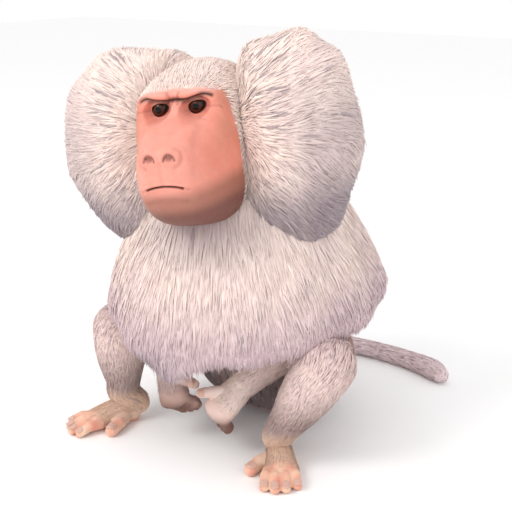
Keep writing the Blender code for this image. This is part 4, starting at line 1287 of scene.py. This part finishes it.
def readied(form, low=0.0, high=1.0):
    # Adds the sign that turns the form's own normal outwards, judged against its middle, and a ball's unwrap
    pick, ball = np.random.default_rng(1), form.get("ball")
    q = unit(pick.normal(size=(400, 3))) if ball else pick.uniform((0, low), (1, high), (400, 2))
    here, _, _, out, _ = readFlow(form, q)
    form["sign"] = float(np.sign((out * (here - here.mean(axis=0))).sum()))
    if ball:
        form["unwrap"] = lambda d: np.stack([
            np.arctan2(d[..., 2], d[..., 0]) / (2 * np.pi) + 0.5, np.arccos(np.clip(d[..., 1], -1, 1)) / np.pi,
        ], axis=-1)
    return form


def hiddenShare(points, *, ruffs=True, mantle=True, head=True, nape=True, depth=0.016):
    # 1 for roots that lie so deep in another form that no lock from them shows
    hidden = np.zeros(points.shape[:-1], bool)
    if head:
        hidden |= insideHead(points, 0.006)
    if ruffs:
        hidden |= insideRuff(points, 1, depth) | insideRuff(points, -1, depth)
    if mantle:
        hidden |= insideRings(points, mantleRows, depth)
    if nape:
        hidden |= insideRings(points, napeRows, depth)
    return hidden.astype(float)


def fromMask(points):
    # How far a point lies from the bare face, 0 beside it and 1 well away
    side, forward, up = axesOf(toHead(points))
    aside, above = np.maximum(np.abs(side) - 0.064, 0), np.maximum(up - 0.040, 0)
    return fade(0.0, 0.045, np.sqrt(aside**2 + above**2 + (0.6 * np.maximum(0.056 - forward, 0)) ** 2))


def crownLift(points):
    # How far the locks at the crown's sides rise to meet the ruffs
    side, _, up = axesOf(toHead(points))
    return 0.006 * fade(0.044, 0.062, np.abs(side)) * fade(0.0, 0.04, up)


# A look gives the number of locks, their length, width, depth at the root and rise at the tip in metres, how
# plump they are and how their spines curve (1 is straight), and how far they wander, in clumps of what size.
# With an end, none runs much past that v
longLook = dict(rings=2, curve=0.8, plump=0.35, material="longCoat", wander=0.14, clump=0.035)
ruffLook = dict(
    longLook, part="ruff", count=19000, length=0.042, width=0.0036, depth=0.0028, rise=0.0015,
    scale=lambda p: 0.55 + 0.45 * fromMask(p),
)
napeLook = dict(longLook, count=6500, length=0.046, width=0.0040, depth=0.0030, rise=0.0020)
napeTopLook = dict(napeLook, count=1100, length=0.032)
napeTop = dict(middle=np.array((0, -0.112, 0.490)), radii=np.array((0.052, 0.049, 0.0125)))
crownLook = dict(
    longLook, count=9500, length=0.026, width=0.0024, depth=0.0020, rise=0.0012, clump=0.03, lift=crownLift,
    scale=lambda p: 0.32 + 0.68 * fromMask(p),
)
mantleLook = dict(
    longLook, part="mantle", count=19000, length=0.052, width=0.0040, depth=0.0032, rise=0.0016, wander=0.12,
    clump=0.045, end=1.0, fringe=0.024,
)


def makeRuffCoat(side):
    # Locks fan out over each ruff from beside the face to behind it
    form = readied(ballFlow(ruffForm(side), (-0.94, 0.30, 0.12), (-0.62, -0.74, -0.26)))
    shown = lambda p, q: 1 - hiddenShare(p, ruffs=False)
    growCoat(f"ruffCoat{sideNames[side].title()}", form, ruffLook, shown, 30 + side)


def makeHeadCoat():
    # Down the nape and over its top, then back and outwards over the crown
    shown = lambda p: 1 - hiddenShare(p, nape=False)
    nape = readied(flowForm(pastEnd(ringForm(napeRows)), -1.0), 0.05, 1)
    growCoat("napeCoat", nape, napeLook, lambda p, q: shown(p), 41, 0.02, 1.0)
    topForm = lambda d: napeTop["middle"] + unit(d) * napeTop["radii"]
    top = readied(ballFlow(topForm, (0, -1, 0.2), (0, 1, -0.3)))
    onTop = lambda p, q: shown(p) * (p[..., 2] > napeTop["middle"][2] - 0.003)
    growCoat("napeTopCoat", top, napeTopLook, onTop, 45)
    crownForm = lambda q: fromHead(swollen(headLocal(q)))

    def outwards(q):
        # Towards the ruffs, more so near them
        side = toHead(crownForm(q))[..., 0]
        ahead = toHead(crownForm(q + np.array((0.002, 0))))[..., 0] - side
        return 0.9 * np.sign(side * ahead) * fade(0.020, 0.060, np.abs(side))

    def outsideMask(points, q):
        # Closest together along the edge of the bare face, and a few millimetres in over it
        local = toHead(points) + np.array((0, -0.0045, 0.0025))
        clear = 1 - hiddenShare(points, head=False, nape=False, mantle=False, depth=0.010)
        return (1 - faceShare(local)) * clear * (2.6 - 1.6 * fromMask(points))
    crown = readied(flowForm(crownForm, -1.0, outwards), 0.05, 0.35)
    growCoat("crownCoat", crown, crownLook, outsideMask, 43, 0.06, 0.50)


def makeMantleCoat():
    # Locks hang from the neck to a loose hem, the front half and the back half apart
    form = readied(flowForm(pastEnd(ringForm(mantleRows, 13, 0.026))), 0.05, 0.95)
    for name, seed in (("Front", 51), ("Back", 53)):
        half = lambda p, q: (1 - hiddenShare(p, mantle=False)) * ((q[..., 0] > 0.5) == (name == "Front"))
        growCoat(f"mantleCoat{name}", form, mantleLook, half, seed, 0.02, 0.95)


shortLook = dict(
    length=0.014, width=0.0016, depth=0.0011, rise=0.0006, wander=0.12, clump=0.03, rings=2,
    material="shortCoat", plump=0.3, curve=0.7,
)
rumpLook = dict(shortLook, count=7000, length=0.022, width=0.0026, depth=0.003)
tailLook = dict(shortLook, count=6000, scale=lambda p: 1 + 0.5 * fade(0.11, 0.16, p[..., 0]))
limbCoats = dict(thigh=3600, shank=6400, sole=2200, forearm=4800, palm=1300, knee=2600)  # how many locks each


def makeShortCoat():
    # Short locks up the rump, out along the tail and down each limb, thinning out towards bare skin
    shown = lambda p, q: (1 - hiddenShare(p, depth=0.03)) * (1 - limbBareness(p)) * (p[..., 2] > 0.008)
    shorter = lambda p: 1 - 0.6 * limbBareness(p)
    rump = readied(flowForm(ringForm(rumpRows), -1.0), 0.05, 0.95)
    growCoat("rumpCoat", rump, rumpLook, shown, 61, 0.08, 1)
    tail = readied(flowForm(tubeForm(tailRows, (0, 0, 1))), 0.05, 0.95)
    offFloor = lambda p, q: (p[..., 2] > 0.003) * (1 - hiddenShare(p))
    growCoat("tailCoat", tail, tailLook, offFloor, 63, 0.08, 1.08)
    for side in (1, -1):
        forms = limbForms(side)
        hip, knee, ankle = (np.array(legs[side][key]) for key in ("hip", "knee", "ankle"))
        for number, (part, count) in enumerate(limbCoats.items()):
            long, wide = (0.0075, 0.0010) if part in ("sole", "palm") else (0.0130, 0.0015)
            look = dict(shortLook, count=count, length=long, width=wide, scale=shorter)
            if part == "knee":
                form = ballFlow(lambda d: knee + unit(d) * 0.0372, hip - knee, ankle - knee)
            else:
                form = flowForm(pastEnd(tubeForm(*forms[part])))
                look.update(end=1.0, fringe=0.03)
            name = f"{part}Coat{sideNames[side].title()}"
            growCoat(name, readied(form), look, shown, 70 + 10 * side + number, 0.0, 0.98)


for side in (1, -1):
    makeRuffCoat(side)
makeHeadCoat()
makeMantleCoat()
makeShortCoat()

cameraView = dict(turn=34, lift=17, away=1.35, lens=72, aim=np.array((0.040, -0.100, 0.258)))


def aimed(name, data, at):
    # A camera or a lamp at a place, turned to look at the middle of the animal
    back = unit(np.array(at) - cameraView["aim"])
    right = unit(np.cross((0, 0, 1), back))
    pose = np.eye(4)
    pose[:3] = np.stack([right, np.cross(back, right), back, at], axis=-1)
    thing = bpy.data.objects.new(name, data)
    thing.matrix_world = Matrix(pose.tolist())
    bpy.context.scene.collection.objects.link(thing)
    return thing


def makeCamera():
    # From `away` metres, `lift` degrees up and `turn` degrees round to the animal's left
    turn, lift = math.radians(cameraView["turn"]), math.radians(cameraView["lift"])
    back = np.array((math.sin(turn) * math.cos(lift), -math.cos(turn) * math.cos(lift), math.sin(lift)))
    lens = bpy.data.cameras.new("camera")
    lens.lens, lens.sensor_width = cameraView["lens"], 36
    bpy.context.scene.camera = aimed("camera", lens, cameraView["aim"] + back * cameraView["away"])


lamps = {  # place, size in metres, power in watts, tone
    "key light": ((-0.9, -2.2, 2.2), 1.3, 35, (1.0, 0.985, 0.96)),
    "catch light": ((0.30, -1.60, 1.15), 0.10, 1.2, (1.0, 1.0, 1.0)),
    "fill light": ((2.4, -1.4, 1.4), 1.8, 12, (0.96, 0.97, 1.0)),
}


def makeStage():
    # A pale floor under a white sky, so that the animal stands on little more than its own soft shadow
    world = bpy.data.worlds.new("white sky")
    bpy.context.scene.world = world
    world.use_nodes = True
    sky = world.node_tree.nodes["Background"].inputs
    sky[0].default_value, sky[1].default_value = (1, 1, 1, 1), 1.0
    corners = np.array([(-6, -6, 0), (6, -6, 0), (6, 6, 0), (-6, 6, 0)])
    floor = makeObject("floor", corners, np.array([(0, 1, 2), (0, 2, 3)]))
    material, tree = emptyMaterial("pale floor")
    place = addNode(tree, "TexCoord").outputs["Object"]
    base = tint(tree, grey(0.94), grey(0.97), noise(tree, place, 9, 3))
    finishMaterial(tree, Base_Color=base, Roughness=0.85)
    floor.data.materials.append(material)
    for name, (at, size, power, tone) in lamps.items():
        light = bpy.data.lights.new(name, "AREA")
        light.size, light.energy, light.color = size, power, tone
        aimed(name, light, at)


makeCamera()
makeStage()
print("camera, lamps and floor placed")
bpy.context.scene.view_settings.view_transform = "Standard"
